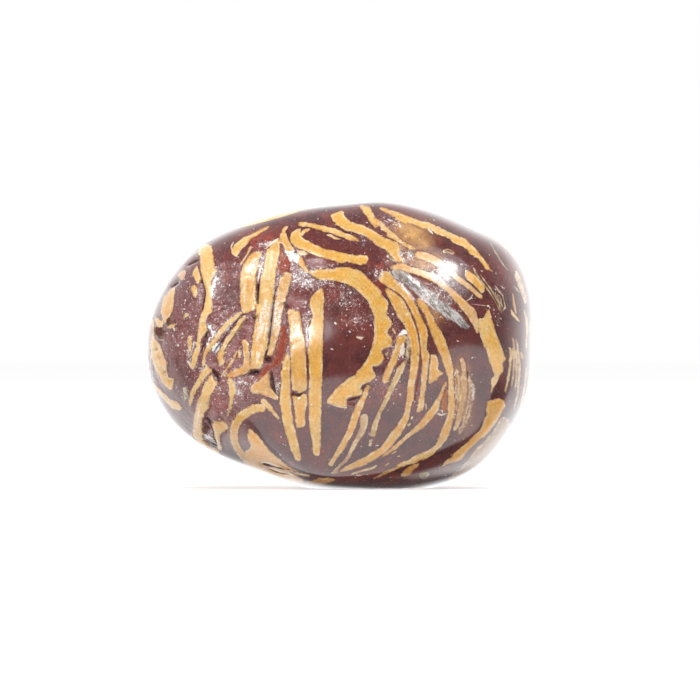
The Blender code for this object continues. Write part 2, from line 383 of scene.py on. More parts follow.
fanFragments = {
    "fanFirst": shard("amber", [
        (385.9, 287.7), (388.5, 289), (393, 291.5), (400.6, 297.3), (406.4, 305.6), (411.5, 315.9),
        (417.3, 331.3), (418.9, 341.5), (419.9, 346.7), (418.6, 366.4), (414.4, 385.6), (413.8, 398.5),
        (412.2, 402.8), (408.3, 420.3), (405.1, 426), (401.9, 432.4), (394.2, 443.3), (389.4, 448.8),
        (375.6, 459.7), (364.1, 465.1), (359, 467.7), (346.8, 471), (339.7, 472.1), (343.6, 467.9),
        (353.2, 462.6), (359.6, 459.7), (372.4, 452.5), (382.1, 445.3), (390.4, 433.7), (398.7, 422.8),
        (404.5, 411.3), (408, 385.6), (410.4, 366.4), (410.6, 350.5), (409.6, 340.3), (407.7, 335.8),
        (404.5, 325.5), (398.7, 317.8), (393.6, 308.2), (389.7, 299.2), (385.9, 292.8)]),
    "fanSecond": shard("amber", [
        (380.1, 273.1), (384.6, 271.2), (389.1, 272.4), (391, 274.4), (401.3, 286.4), (407.7, 292.2),
        (413.5, 299.9), (415.4, 304.4), (420.2, 313.8), (425.6, 326.4), (427, 331.3), (427.5, 337.7),
        (427.2, 344.1), (427.2, 349.2), (429.2, 352.6), (429.7, 356.9), (428.6, 363.3), (426.6, 383),
        (424.3, 398.5), (424, 404.9), (423.3, 409.4), (418.8, 411.9), (416, 411.3), (416.9, 408.1),
        (418.5, 401.7), (420.6, 385.6), (421.9, 366.4), (421.4, 360.1), (420.3, 344.1), (417.5, 327.4),
        (413, 315.3), (410.4, 310.8), (405.2, 300.5), (401.9, 296.2), (397.8, 293), (386.5, 286),
        (382.1, 282.7), (378.4, 280), (378.8, 277.6), (381.4, 276.3)]),
    "fanThird": shard("amber", [
        (418, 298.8), (422.7, 300.5), (427.2, 305.6), (437.4, 326.2), (440.6, 330.6), (445.1, 339),
        (446.4, 343.5), (449.9, 353.7), (452.2, 364.6), (453.3, 369.5), (454.1, 394.6), (455.5, 406.2),
        (452.2, 424.7), (449, 434.4), (443.2, 444), (440, 448), (428, 457), (421, 462), (424, 455.5),
        (429.4, 449.7), (433.6, 446.3), (436.8, 442.1), (441.3, 431.2), (447.1, 415.8), (447.7, 404.9),
        (448.7, 386.9), (447.7, 376.7), (444.8, 368), (439.4, 353.1), (432.9, 337.7), (424.6, 315.6),
        (419.8, 307.6), (417, 303)]),
    "fanBlob": shard("amber", [
        (430.4, 355.4), (433, 354.2), (436.2, 355), (438.4, 362.6), (438.1, 366.4), (438.9, 370),
        (441.9, 371.5), (443.2, 373.5), (438.7, 376.7), (438.1, 378.8), (436.8, 380.8), (433.6, 381.2),
        (431, 383.1), (428.8, 383.9), (428.6, 379.2), (430.2, 360)]),
    "fanShort": shard("amber", [
        (397.4, 335.8), (401, 334), (405, 334.6), (406.4, 337.4), (404.8, 342), (400.4, 352), (397, 362),
        (393, 369.6), (389.1, 379.2), (387.2, 382.8), (384.6, 383.7), (382.7, 381.8), (382.7, 376.7),
        (386.5, 367.1), (389.7, 360.8), (393, 351.2), (394.9, 346.7)]),
    "fanSlim": shard("straw", [
        (404.5, 361.3), (407.7, 361.9), (405.8, 365.1), (402.6, 372.8), (393.6, 389.5), (385.9, 404.9),
        (380.1, 416.4), (377.6, 427.3), (376, 432.4), (375, 436.3), (370.8, 436.2), (370.8, 432.4),
        (373.7, 421.5), (379.5, 408.7), (387.2, 392.1), (389.1, 386.9), (395.5, 372.8), (397.4, 368.3)]),
    "fanSlimTail": shard("olive", [
        (369.4, 439.5), (374.4, 439.3), (372.4, 441.4), (371.2, 445.3), (368.9, 445.8), (369.2, 442.1)]),
    "fanSweep": shard("amber", [
        (445.3, 381.6), (447, 382.4), (445.8, 385.6), (443.8, 390.8), (442.6, 395.9), (440.6, 401),
        (440, 406.2), (438.1, 410.6), (435.5, 413.8), (424.8, 426.7), (409.6, 436.6), (401.9, 444),
        (393, 451), (384, 456.8), (380.6, 458.5), (385.9, 452.3), (400, 440.8), (409.6, 431.6),
        (414.7, 427.5), (430.4, 408.1), (438.7, 395.3), (443.8, 383.7)]),
    "diagonalFirst": shard("amber", [
        (366, 385.8), (368, 384.6), (369.9, 385.8), (369.2, 390.1), (367.9, 395.3), (363.5, 404.9),
        (356.4, 425.4), (353.2, 431.8), (350.6, 437.6), (343.9, 449.7), (339.7, 454.9), (333.3, 465.1),
        (330.8, 466.7), (328.2, 464.5), (330.8, 460), (337.2, 449.7), (347.4, 429.2), (350.6, 419),
        (354.5, 408.7), (361.8, 395.9)]),
    "diagonalSecond": shard("sand", [
        (360.9, 416), (363.5, 414.2), (367.3, 414.5), (368.3, 417.7), (367.9, 421.5), (365.1, 431.8),
        (360.3, 439.5), (353.2, 451), (351.9, 454.9), (348.7, 459.4), (341, 467.1), (337.8, 471.3),
        (338, 473.6), (333.3, 474.1), (331.1, 472.8), (332.7, 471.5), (344.2, 459.4), (347.4, 454.2),
        (355.1, 438.2), (357.4, 434.4), (358.3, 431.2), (359.9, 427.3), (359.9, 421.5)]),
    "diagonalThird": stroke("cream", [
        (350.8, 474.3), (356, 472.6), (362, 470.9), (369, 469), (374, 467.3),
        (376.8, 464.7)], (1.2, 2, 2.2, 2, 2.2, 1.2)),
}

rightFragments = {
    "longRight": shard("rose", [
        (390.4, 266.7), (395.5, 264.1), (401.9, 263.1), (408.3, 265.4), (420.1, 269.1), (430.4, 272.9),
        (436, 277), (440.6, 281.9), (449, 286.4), (461.2, 296), (471.4, 306.3), (474.6, 309.5), (478, 318),
        (478.6, 331.3), (477.6, 334.2), (475.6, 331.3), (472.1, 323.6), (459.9, 306.9), (456.7, 302.4),
        (445.8, 291.2), (440.6, 287.9), (436.2, 284.2), (425.3, 278.1), (415, 274.2), (410.3, 273.2),
        (405.1, 271.5), (393, 269.2)]),
    "rightBar": shard("biscuit", [
        (478.2, 318.6), (481.7, 318.5), (484.2, 316.5), (485.5, 313.3), (488.7, 309.6), (490.3, 313.3),
        (493.8, 324.2), (495.1, 330), (504.6, 355), (506.3, 359.2), (503.6, 362.3), (502.9, 365.4),
        (503.3, 368.8), (502.7, 372.3), (500.8, 375), (498.5, 379.6), (496.9, 381.5), (495, 386.5),
        (493.1, 389.2), (491.9, 391.5), (491, 391.9), (491.2, 383.5), (490.8, 380.8), (494.2, 375.8),
        (493.5, 373.5), (491.2, 366.2), (490, 363.5), (486.2, 350), (482.3, 341.5), (478.9, 331.3),
        (478.5, 324.9)]),
    "flashBar": shard("rose", [
        (415.4, 253.4), (416.9, 251.8), (420.1, 251.2), (425.3, 252.1), (438.7, 258.2), (449, 266),
        (455, 271.5), (460, 277), (465.6, 280.8), (474.6, 288), (482, 295.4), (482.3, 297.9),
        (479.7, 298.6), (476.5, 296.7), (468.8, 289.8), (458.6, 282.6), (453, 277.6), (446, 272.6),
        (440, 267.8), (434.2, 264.6), (418.8, 258.8), (415.6, 256.6)]),
    "twinBar": shard("gold", [
        (465, 270.1), (469.5, 271), (478.5, 278.7), (484.2, 285.8), (484.9, 289.6), (483.9, 292.8),
        (482, 294.2), (479.3, 291), (474.8, 286.2), (466.5, 278.7), (465.6, 274.9)]),
    "footPatch": shard("orange", [
        (400.6, 474.7), (403.8, 470.9), (407.7, 467.1), (411.5, 465.6), (417.9, 463.8), (418.6, 464.8),
        (416.7, 467.7), (412.8, 471.5), (409.6, 475.4), (405.1, 476), (401.3, 475.9)]),
    "lowerSweep": shard("gold", [
        (373.7, 477.6), (378.8, 475.4), (384, 472.2), (389.1, 469.6), (394.2, 468), (397.4, 466.4),
        (397.1, 465.1), (399.4, 463.2), (404.5, 461.3), (409.6, 459.4), (414.7, 455.5), (419.9, 453.6),
        (425, 452), (431, 450.6), (436, 449.4), (434, 453.5), (430, 456.5), (425, 459), (419.9, 460.8),
        (414.7, 463), (409.6, 464.4), (405.8, 465.8), (401.9, 467.1), (397.4, 469), (393, 470.9),
        (387.8, 473.5), (382.7, 474.7), (379.5, 476.3), (374.5, 478.6)]),
    "rightFoot": shard("brightLowOrange", [
        (488.7, 401), (493.6, 399.6), (500.3, 398.6), (504.4, 401), (505, 406), (502.2, 411),
        (500.2, 416.2), (497.1, 420.7), (493.6, 425.7), (490.4, 430), (486.4, 434.4), (481.6, 438.4),
        (475.6, 443), (470.6, 448.6), (466, 453.6), (462.6, 458.4), (456.4, 461.6), (450, 463.2),
        (445, 465), (440.7, 467.1), (445, 461.8), (450.4, 457.2), (455, 452.9), (460, 448.6), (465, 444.2),
        (470, 439.8), (475, 435), (480, 430), (482.8, 425), (484.4, 419.4), (486.4, 414.2), (486.9, 411.2),
        (486.3, 408.6), (487.2, 404)]),
    "paleRim": shard("dun", [
        (502.8, 416.6), (507.3, 417.8), (509.6, 422.9), (509.3, 428.4), (507.7, 433.6), (505.6, 438.7),
        (502.4, 443.8), (497.9, 448.8), (492.8, 453.9), (487.2, 458.3), (482, 462.5), (477.5, 466.3),
        (472.1, 470.8), (466.6, 475.3), (460.1, 479), (450, 480), (447.6, 478.6), (451.4, 475),
        (457.1, 470.4), (462.1, 466), (465.7, 461.6), (470, 456.6), (473.6, 451.8), (477.9, 447.6),
        (481.7, 443.6), (485.3, 439.8), (488.9, 435.6), (492.4, 431.4), (495.4, 427.4), (498.6, 421.4)]),
    "rimLineFirst": shard("cream", [
        (508.8, 347.6), (510.8, 348.1), (511.6, 351), (513.4, 346.8), (513.6, 352.7), (511.9, 360.4),
        (510.8, 370.4), (508.5, 382.7), (506.5, 390.4), (505.5, 393.4), (504.6, 390.4), (506.2, 381.9),
        (506.5, 378.1), (508.4, 370), (509.4, 355)]),
    "rimLineSecond": stroke("sand", [
        (512.4, 338), (513.8, 343), (514.4, 352), (513.8, 362), (513.3, 374), (512.4, 380),
        (511.2, 387)], (1, 2, 2, 2, 2, 2, 1)),
    "rimLineMiddle": stroke("blush", [
        (516, 350), (516.4, 358), (516.6, 368), (516.2, 380), (515, 391)], (1, 2, 2.4, 2, 1)),
    "rimLineThird": stroke("sand", [
        (515.6, 339), (517.2, 345), (518.1, 352.7), (519, 360.4), (519.5, 368), (519.1, 375.8),
        (518.6, 383.5), (518.2, 389.2), (517.6, 394.2), (516.4, 398.8), (515.2, 404),
        (513.8, 410)], (1, 1.8, 2.3, 2.5, 2.5, 2.5, 2.3, 2, 2, 2, 1.7, 1)),
    "rimBlob": shard("cream", [
        (520.6, 351.6), (522, 352.4), (523.2, 356), (522.6, 359), (521, 358.6), (520.4, 355)]),
    "spindleUpper": stroke("cream", [
        (512.7, 293.5), (513.4, 300), (514.5, 306), (516, 313.3)], (1, 2, 2.3, 1)),
    "spindleLower": stroke("cream", [
        (511, 309.6), (513, 314), (515.6, 317.4), (519.4, 321.6)], (1.4, 3, 3, 1)),
    "farRimHigh": stroke("sand", [
        (494, 237.6), (501.4, 243.6), (505.9, 247.8), (510.4, 252.5), (513.9, 256.5), (518, 261.8),
        (521, 268)], (1.2, 1.6, 1.7, 1.7, 1.6, 1.4, 1)),
    "nearRimHigh": stroke("ash", [
        (490, 242), (494.4, 250.2), (498.7, 257.4), (501.4, 261.9), (505, 266.8),
        (508.4, 270.6)], (1, 1.4, 1.5, 1.5, 1.5, 1)),
    "rimStreakHigh": stroke("ash", [(513.5, 285.7), (516.4, 289), (519.6, 292.8)], (1, 1.6, 1)),
    "rimPale": shard("blush", [
        (516, 270), (520, 276), (522.4, 284), (525, 293), (526.6, 302), (524.6, 303), (521.6, 295),
        (518.6, 288), (516.6, 281), (515, 275)]),
    "wallStripA": stroke("sand", [
        (523.4, 309), (526, 318), (527.2, 330), (526.4, 342), (525.8, 350)], (1, 2, 2.2, 1.8, 1)),
    "wallStripB": stroke("sand", [
        (529.4, 322), (531.2, 338), (531.6, 356), (530, 374), (527.6, 390)], (1, 1.6, 1.8, 1.6, 1)),
    "wallStripC": stroke("sand", [
        (526.4, 368), (525.2, 380), (523.2, 394), (520, 410), (516.6, 424),
        (512, 436)], (1, 1.8, 1.6, 1.8, 1.8, 1)),
    "oliveStreak": stroke("olive", [
        (473.6, 267.6), (476, 273), (479.6, 278.6), (483.2, 283.6), (487.8, 289.6), (491.6, 295.4),
        (495.6, 302.3), (500.6, 312)], (1, 1.8, 1.6, 1.5, 1.4, 1.3, 1.3, 1)),
    "oliveStreakTwin": stroke("ash", [
        (480.4, 274.2), (482.8, 278.4), (485.6, 281.8), (488.4, 285.6), (491.8, 290.4), (495, 296.2),
        (499.4, 304)], (0.9, 1.3, 1.2, 1.2, 1.4, 1.6, 1.4)),
    "olivePatchA": stroke("ash", [
        (498.6, 290.6), (502, 294.6), (503.6, 300), (505, 306), (503, 310.6)], (0.9, 1.3, 1, 1.2, 0.9)),
    "olivePatchB": stroke("ash", [
        (497.6, 294), (498, 300), (499.6, 306), (501.6, 312.6)], (1, 1.6, 1.3, 1)),
    "olivePatchC": stroke("sand", [(500.6, 297), (501.4, 303), (502.2, 307)], (1, 1.4, 1)),
    "streakyFirst": shard("fawn", [
        (459.9, 358.4), (462, 356.8), (464.4, 360), (466, 366.4), (466.7, 379.2), (467.6, 386),
        (467.4, 394), (464.6, 410), (462.4, 418), (459, 426), (455.4, 430.4), (452.6, 430), (454.4, 424.4),
        (456.4, 418), (458.4, 402), (460.4, 385), (460.2, 378), (461.5, 372.8), (460.5, 366.4)]),
    "streakySecond": shard("clay", [
        (468.6, 374), (470.6, 378), (474.2, 388), (474.2, 396), (472, 404), (467.6, 420), (464.4, 428),
        (460.6, 435.4), (457.8, 434), (459.6, 428), (462.4, 421), (466.6, 405), (468.4, 387),
        (468, 380)], fuzz=2.4),
    "streakyInner": shard("fawn", [
        (455.4, 369.6), (458.6, 371), (459.6, 378), (459.6, 386), (456.8, 410), (455.4, 417.6),
        (453.6, 421), (454.8, 412), (455, 391), (454.6, 380)], fuzz=2.8, mottle=0.25),
    "ringLine": stroke("sand", [
        (444, 252.6), (443.2, 250.8), (446, 249.4), (449.4, 249.2), (452.4, 251), (454.2, 253),
        (452, 253.8), (449.2, 252.2), (446.4, 251.2)], (1.2, 1.1, 0.9, 0.9, 1.1, 1.2, 1.2, 0.9, 0.7)),
}

footFragments = {
    "bottomOrange": shard("brightLowOrange", [
        (249.5, 428.6), (254.2, 431.9), (258.1, 435.8), (261.3, 440.3), (264.5, 444.1), (268.3, 448.6),
        (272.2, 453.1), (277.3, 457.6), (282.4, 462.1), (287.6, 465.9), (292.7, 469.1), (298.4, 471.6),
        (293, 472.2), (287, 471.2), (280, 469), (273, 466.6), (268.4, 465), (263.6, 463.8), (263, 465),
        (268, 467.4), (275, 468.4), (283, 470.8), (291, 473.2), (297, 475.6), (302, 479), (304.5, 481.4),
        (298, 483.6), (288, 481.4), (276, 478.4), (264, 474.6), (252, 468), (243, 462), (243.6, 458),
        (244.6, 452.4), (247.2, 450.5), (250.3, 447.3), (250.1, 443.5), (247.8, 439.6), (247.5, 435.8),
        (245.3, 434.5), (248.1, 433.2)]),
    "bottomStrip": shard("cream", [
        (294, 472.8), (300, 473), (306, 474), (310.4, 475.4), (307, 477), (300, 475.4), (295, 474)]),
    "bottomLip": shard("orange", [
        (305, 481.4), (312, 480.6), (319, 478.2), (325, 477.8), (331, 478.4), (335.6, 479.6), (331, 482.2),
        (324, 484.4), (316, 484.8), (308, 483.6)]),
}

# Patches of other stone and of rough crust, which lie among the fragments
patchFragments = {
    "brickStrip": shard("ember", [
        (281, 328), (286, 326), (287.4, 336), (286.6, 347), (284, 357), (280, 366), (274, 369), (271, 372),
        (272, 362), (276, 352), (279, 340)], fuzz=2.6, mottle=matt),
    "brickFoot": shard("ember", [
        (271, 363), (272.5, 367), (268, 372), (263, 377), (259, 381.6), (257.4, 378), (262, 371),
        (266, 366)], fuzz=2, mottle=matt),
    "brickWedge": shard("salmon", [
        (447.9, 389), (447.4, 398.5), (447.3, 405), (446.6, 411.8), (443, 411.4), (440.8, 408),
        (441.8, 401), (446, 390.4)], fuzz=2.2, mottle=matt),
    "brickTop": shard("ember", [
        (281, 246), (284, 251), (288, 257), (291, 264), (289, 270), (284, 271), (281, 276), (279.4, 268),
        (280.6, 256)], fuzz=2.2, mottle=matt),
    "slateStart": shard("slate", [
        (395, 272.4), (399, 271.2), (404, 273.6), (408.4, 277), (408, 280.4), (403.6, 280.4),
        (399, 278)], fuzz=2.6, mottle=0.4),
    "slateSpot": shard("slate", [
        (405.4, 253.4), (409, 251), (412.4, 253), (412, 256.4), (408, 257.4),
        (405.6, 256)], fuzz=1.6, mottle=1),
    "whiteWedge": shard("white", [
        (399, 344), (402.6, 341.6), (404.6, 346), (404, 352), (402, 358.6), (399.6, 357),
        (399, 351)], fuzz=2, mottle=0.6),
    "whiteTriangle": shard("white", [
        (398.6, 336.4), (401, 333), (405, 330.6), (408, 331.4), (406, 334.4),
        (402, 335.4)], fuzz=2.4, mottle=plain),
    "oliveWedge": shard("olive", [
        (407, 337), (409.4, 339), (410, 346), (409.4, 353), (407.4, 360), (405.6, 360), (406.6, 352),
        (407, 345)], fuzz=1.6),
    # white patch at the fork's foot, painted pure white; it is partly painted highlight in place of a light's
    # glare there
    "forkWhiteGlint": shard("white", [
        (284.6, 253), (287, 250), (292, 250.4), (297.4, 254), (300.4, 259), (297, 263), (293, 260.4),
        (290, 262), (288, 257)], fuzz=2.8, mottle=plain),
    "arcCrust": shard("white", [
        (327, 404.6), (332, 405), (339, 408), (346.6, 408.2), (347.2, 406.2), (341, 406.8), (334, 403.8),
        (329, 402.4)], fuzz=1.8, mottle=0.5),
    "whiteChip": shard("white", [
        (207.6, 325), (211.4, 326.4), (213.8, 330), (212.4, 334.6), (210, 332.4)], fuzz=2, mottle=plain),
    "whiteChipLow": shard("white", [
        (209.6, 336.6), (212.4, 335.6), (212, 339.6), (207, 345.6), (206.4, 342),
        (208.2, 339.6)], fuzz=2.4, mottle=plain),
    "whiteChipMid": shard("white", [
        (211.6, 349), (214.6, 345), (217.8, 342.6), (218.4, 346), (215.4, 350.4),
        (212.2, 352.6)], fuzz=2, mottle=plain),
    "whiteChipFoot": shard("white", [
        (205, 437), (209.6, 438.4), (213.6, 442), (216.4, 445.6), (212, 444.6),
        (207.4, 441.6)], fuzz=2.8, mottle=plain),
    "whiteStrip": shard("white", [
        (217.4, 274.6), (216.6, 280), (214.6, 286), (213.4, 294), (212, 300.6), (210.8, 299), (211.2, 291),
        (212.6, 283), (214.8, 277)], fuzz=2.6, mottle=plain),
    "paleGrit": shard("ash", [
        (183, 388), (187, 387), (188.4, 393), (187, 400), (184, 400.6), (182.4, 394)], fuzz=3, mottle=1),
    "dimEnd": shard("olive", [
        (418.6, 473.4), (423, 471.6), (428, 472), (428.4, 476), (424, 479.4), (419.6, 478)], fuzz=1.6),
}

# The grey quartz vein between the fan and the long right fragment
vein = {
    "path": [
        (396, 273), (405, 277.6), (416, 286), (427, 295), (437, 304.6), (447, 311.4), (457, 318),
        (467, 327)],
    "widths": (11, 13, 12, 14, 14, 14, 12, 6),
}

# Thin light marks
lightLines = {
    "whiteA": stroke("white", [
        (265.6, 248.6), (270, 244.4), (274.4, 241.4), (278.6, 238.4)], (1.4, 2.8, 2.6, 1.2)),
    "whiteD": stroke("white", [(187.4, 361.6), (189.6, 365.8)], (2, 1.6)),
    "rimSpeckA": stroke("blush", [(159, 339.4), (162, 340.6)], (1.6, 2.2)),
    "rimSpeckB": stroke("white", [(173.2, 327.4), (173.6, 330.4)], (1.4, 1.6)),
    "rimSpeckC": stroke("white", [(171.6, 335), (172.4, 336.6)], (1.2, 1.4)),
    "rimSpeckD": stroke("white", [(176.8, 344.4), (177.8, 346)], (1.8, 2.2)),
    "rimSpeckE": stroke("white", [(180.4, 338.2), (182, 337)], (1.2, 1.4)),
    "rimSpeckF": stroke("white", [(165.4, 342.6), (166.6, 343.6)], (1, 1.2)),
    "whiteE": stroke("white", [(193.4, 341.4), (192.8, 347), (190.8, 353)], (1, 1.4, 1)),
    # painted highlight: a white glint along the short upright's edge
    "shortUprightGlint": stroke("white", [(262.4, 262), (259.4, 271), (257.4, 282)], (2.6, 2.2, 1)),
    "whiteG": stroke("white", [(233, 251), (231, 246.4), (233.6, 242)], (1, 1.4, 0.8)),
    "whiteH": stroke("white", [(357, 336.8), (360, 338), (363, 337.4)], (2, 3, 1.4)),
    "whiteM": stroke("white", [(437, 413.4), (441, 415), (446.6, 413.4)], (1, 1.8, 1)),
    "whiteN": stroke("white", [(472.6, 294.6), (470.4, 298.6), (466.8, 300.6)], (0.9, 1.1, 0.8)),
    "whiteO": stroke("white", [(495, 285.6), (498.6, 290.8), (501.6, 294)], (0.9, 1.6, 0.9)),
    "whiteQ": stroke("white", [(427.6, 228.4), (430.4, 231), (432.6, 233.6)], (2, 2.6, 1.4)),
    "whiteR": stroke("white", [(436, 226.6), (440, 227.4)], (1.4, 1.2)),
    "whiteS": stroke("white", [(276, 383), (277.6, 385.6), (279, 388)], (1.6, 2.4, 1.2)),
    "whiteT": stroke("white", [(280.4, 437), (281.8, 437)], (1.4, 1.2)),
    "whiteU": stroke("white", [(401, 354), (403, 357.4)], (1.6, 1.4)),
    "whiteV": stroke("white", [(356, 475.4), (359, 475.6), (362.4, 475.4)], (0.8, 1.4, 0.8)),
    "whiteW": stroke("white", [(291.6, 324), (293.6, 330), (294.6, 337)], (1, 1.8, 1)),
    "whiteX": stroke("white", [(308.6, 322.6), (306.6, 330), (307.4, 338)], (1, 2, 1)),
    "whiteY": stroke("white", [(487.4, 305.8), (489, 306.4)], (2.2, 2)),
    "pinkHair": stroke("lilac", [(470.2, 304), (478, 304.8), (487, 305.9)], (0.7, 1, 0.8)),
    "goldBitA": stroke("gold", [(397, 456.9), (399.8, 456.1)], (1.7, 1.5)),
    "goldBitB": stroke("gold", [(391.9, 453.8), (395.9, 451.5)], (1.2, 1.4)),
    "goldBitC": stroke("gold", [(385, 466), (388.9, 463)], (1.1, 1.3)),
    "goldBitD": stroke("blush", [(375.6, 445.7), (378.6, 445.3)], (1.6, 1.5)),
    "goldBitE": stroke("blush", [(360.4, 446.6), (361.8, 446.2)], (1.6, 1.6)),
    "goldBitF": stroke("gold", [(408.2, 425.6), (410.4, 423.6)], (1.6, 1.4)),
    "goldBitG": stroke("blush", [(411.6, 418.6), (412.6, 416.8)], (2.2, 1.8)),
    "goldBitH": stroke("cream", [(392.6, 328.6), (394.2, 331), (395.6, 333.6)], (2.2, 2, 1)),
    "goldBitI": stroke("peach", [(390.4, 344.2), (391.8, 342)], (2.6, 2)),
    "goldBitJ": stroke("blush", [(400, 297.4), (402.4, 301.4)], (1, 1.2)),
    "speckA": stroke("white", [(456.6, 371.4), (457.6, 371.6)], (1.3, 1.2)),
    "speckB": stroke("white", [(457, 397), (457.6, 397.6)], (1.5, 1.3)),
    "speckC": stroke("white", [(453.6, 416.6), (454.6, 417.2)], (1.4, 1.2)),
    "speckD": stroke("white", [(463.6, 416.8), (464.6, 417)], (1.3, 1.1)),
    "speckE": stroke("white", [(481.2, 270.8), (482.4, 271.2)], (1.9, 1.7)),
    "speckF": stroke("white", [(502, 286.4), (502.6, 287.6)], (1.2, 1.3)),
    "speckG": stroke("white", [(497.4, 297.4), (498, 298)], (1.1, 1.1)),
    "speckH": stroke("white", [(497.4, 324.6), (498, 325.4)], (1.3, 1.1)),
    "speckI": stroke("white", [(505, 307.4), (505.8, 308)], (1.2, 1)),
    "speckJ": stroke("white", [(500.4, 318), (501.2, 319)], (1.4, 1.2)),
    "rootSpot": stroke("brick", [(426, 404), (426.2, 409)], (1.6, 1.4)),
    "tanSpot": stroke("tan", [(353.4, 299.6), (354.8, 300.4)], (1.7, 1.5)),
    "goldBitK": stroke("cream", [(388.2, 352), (386.4, 355)], (1.4, 2)),
}

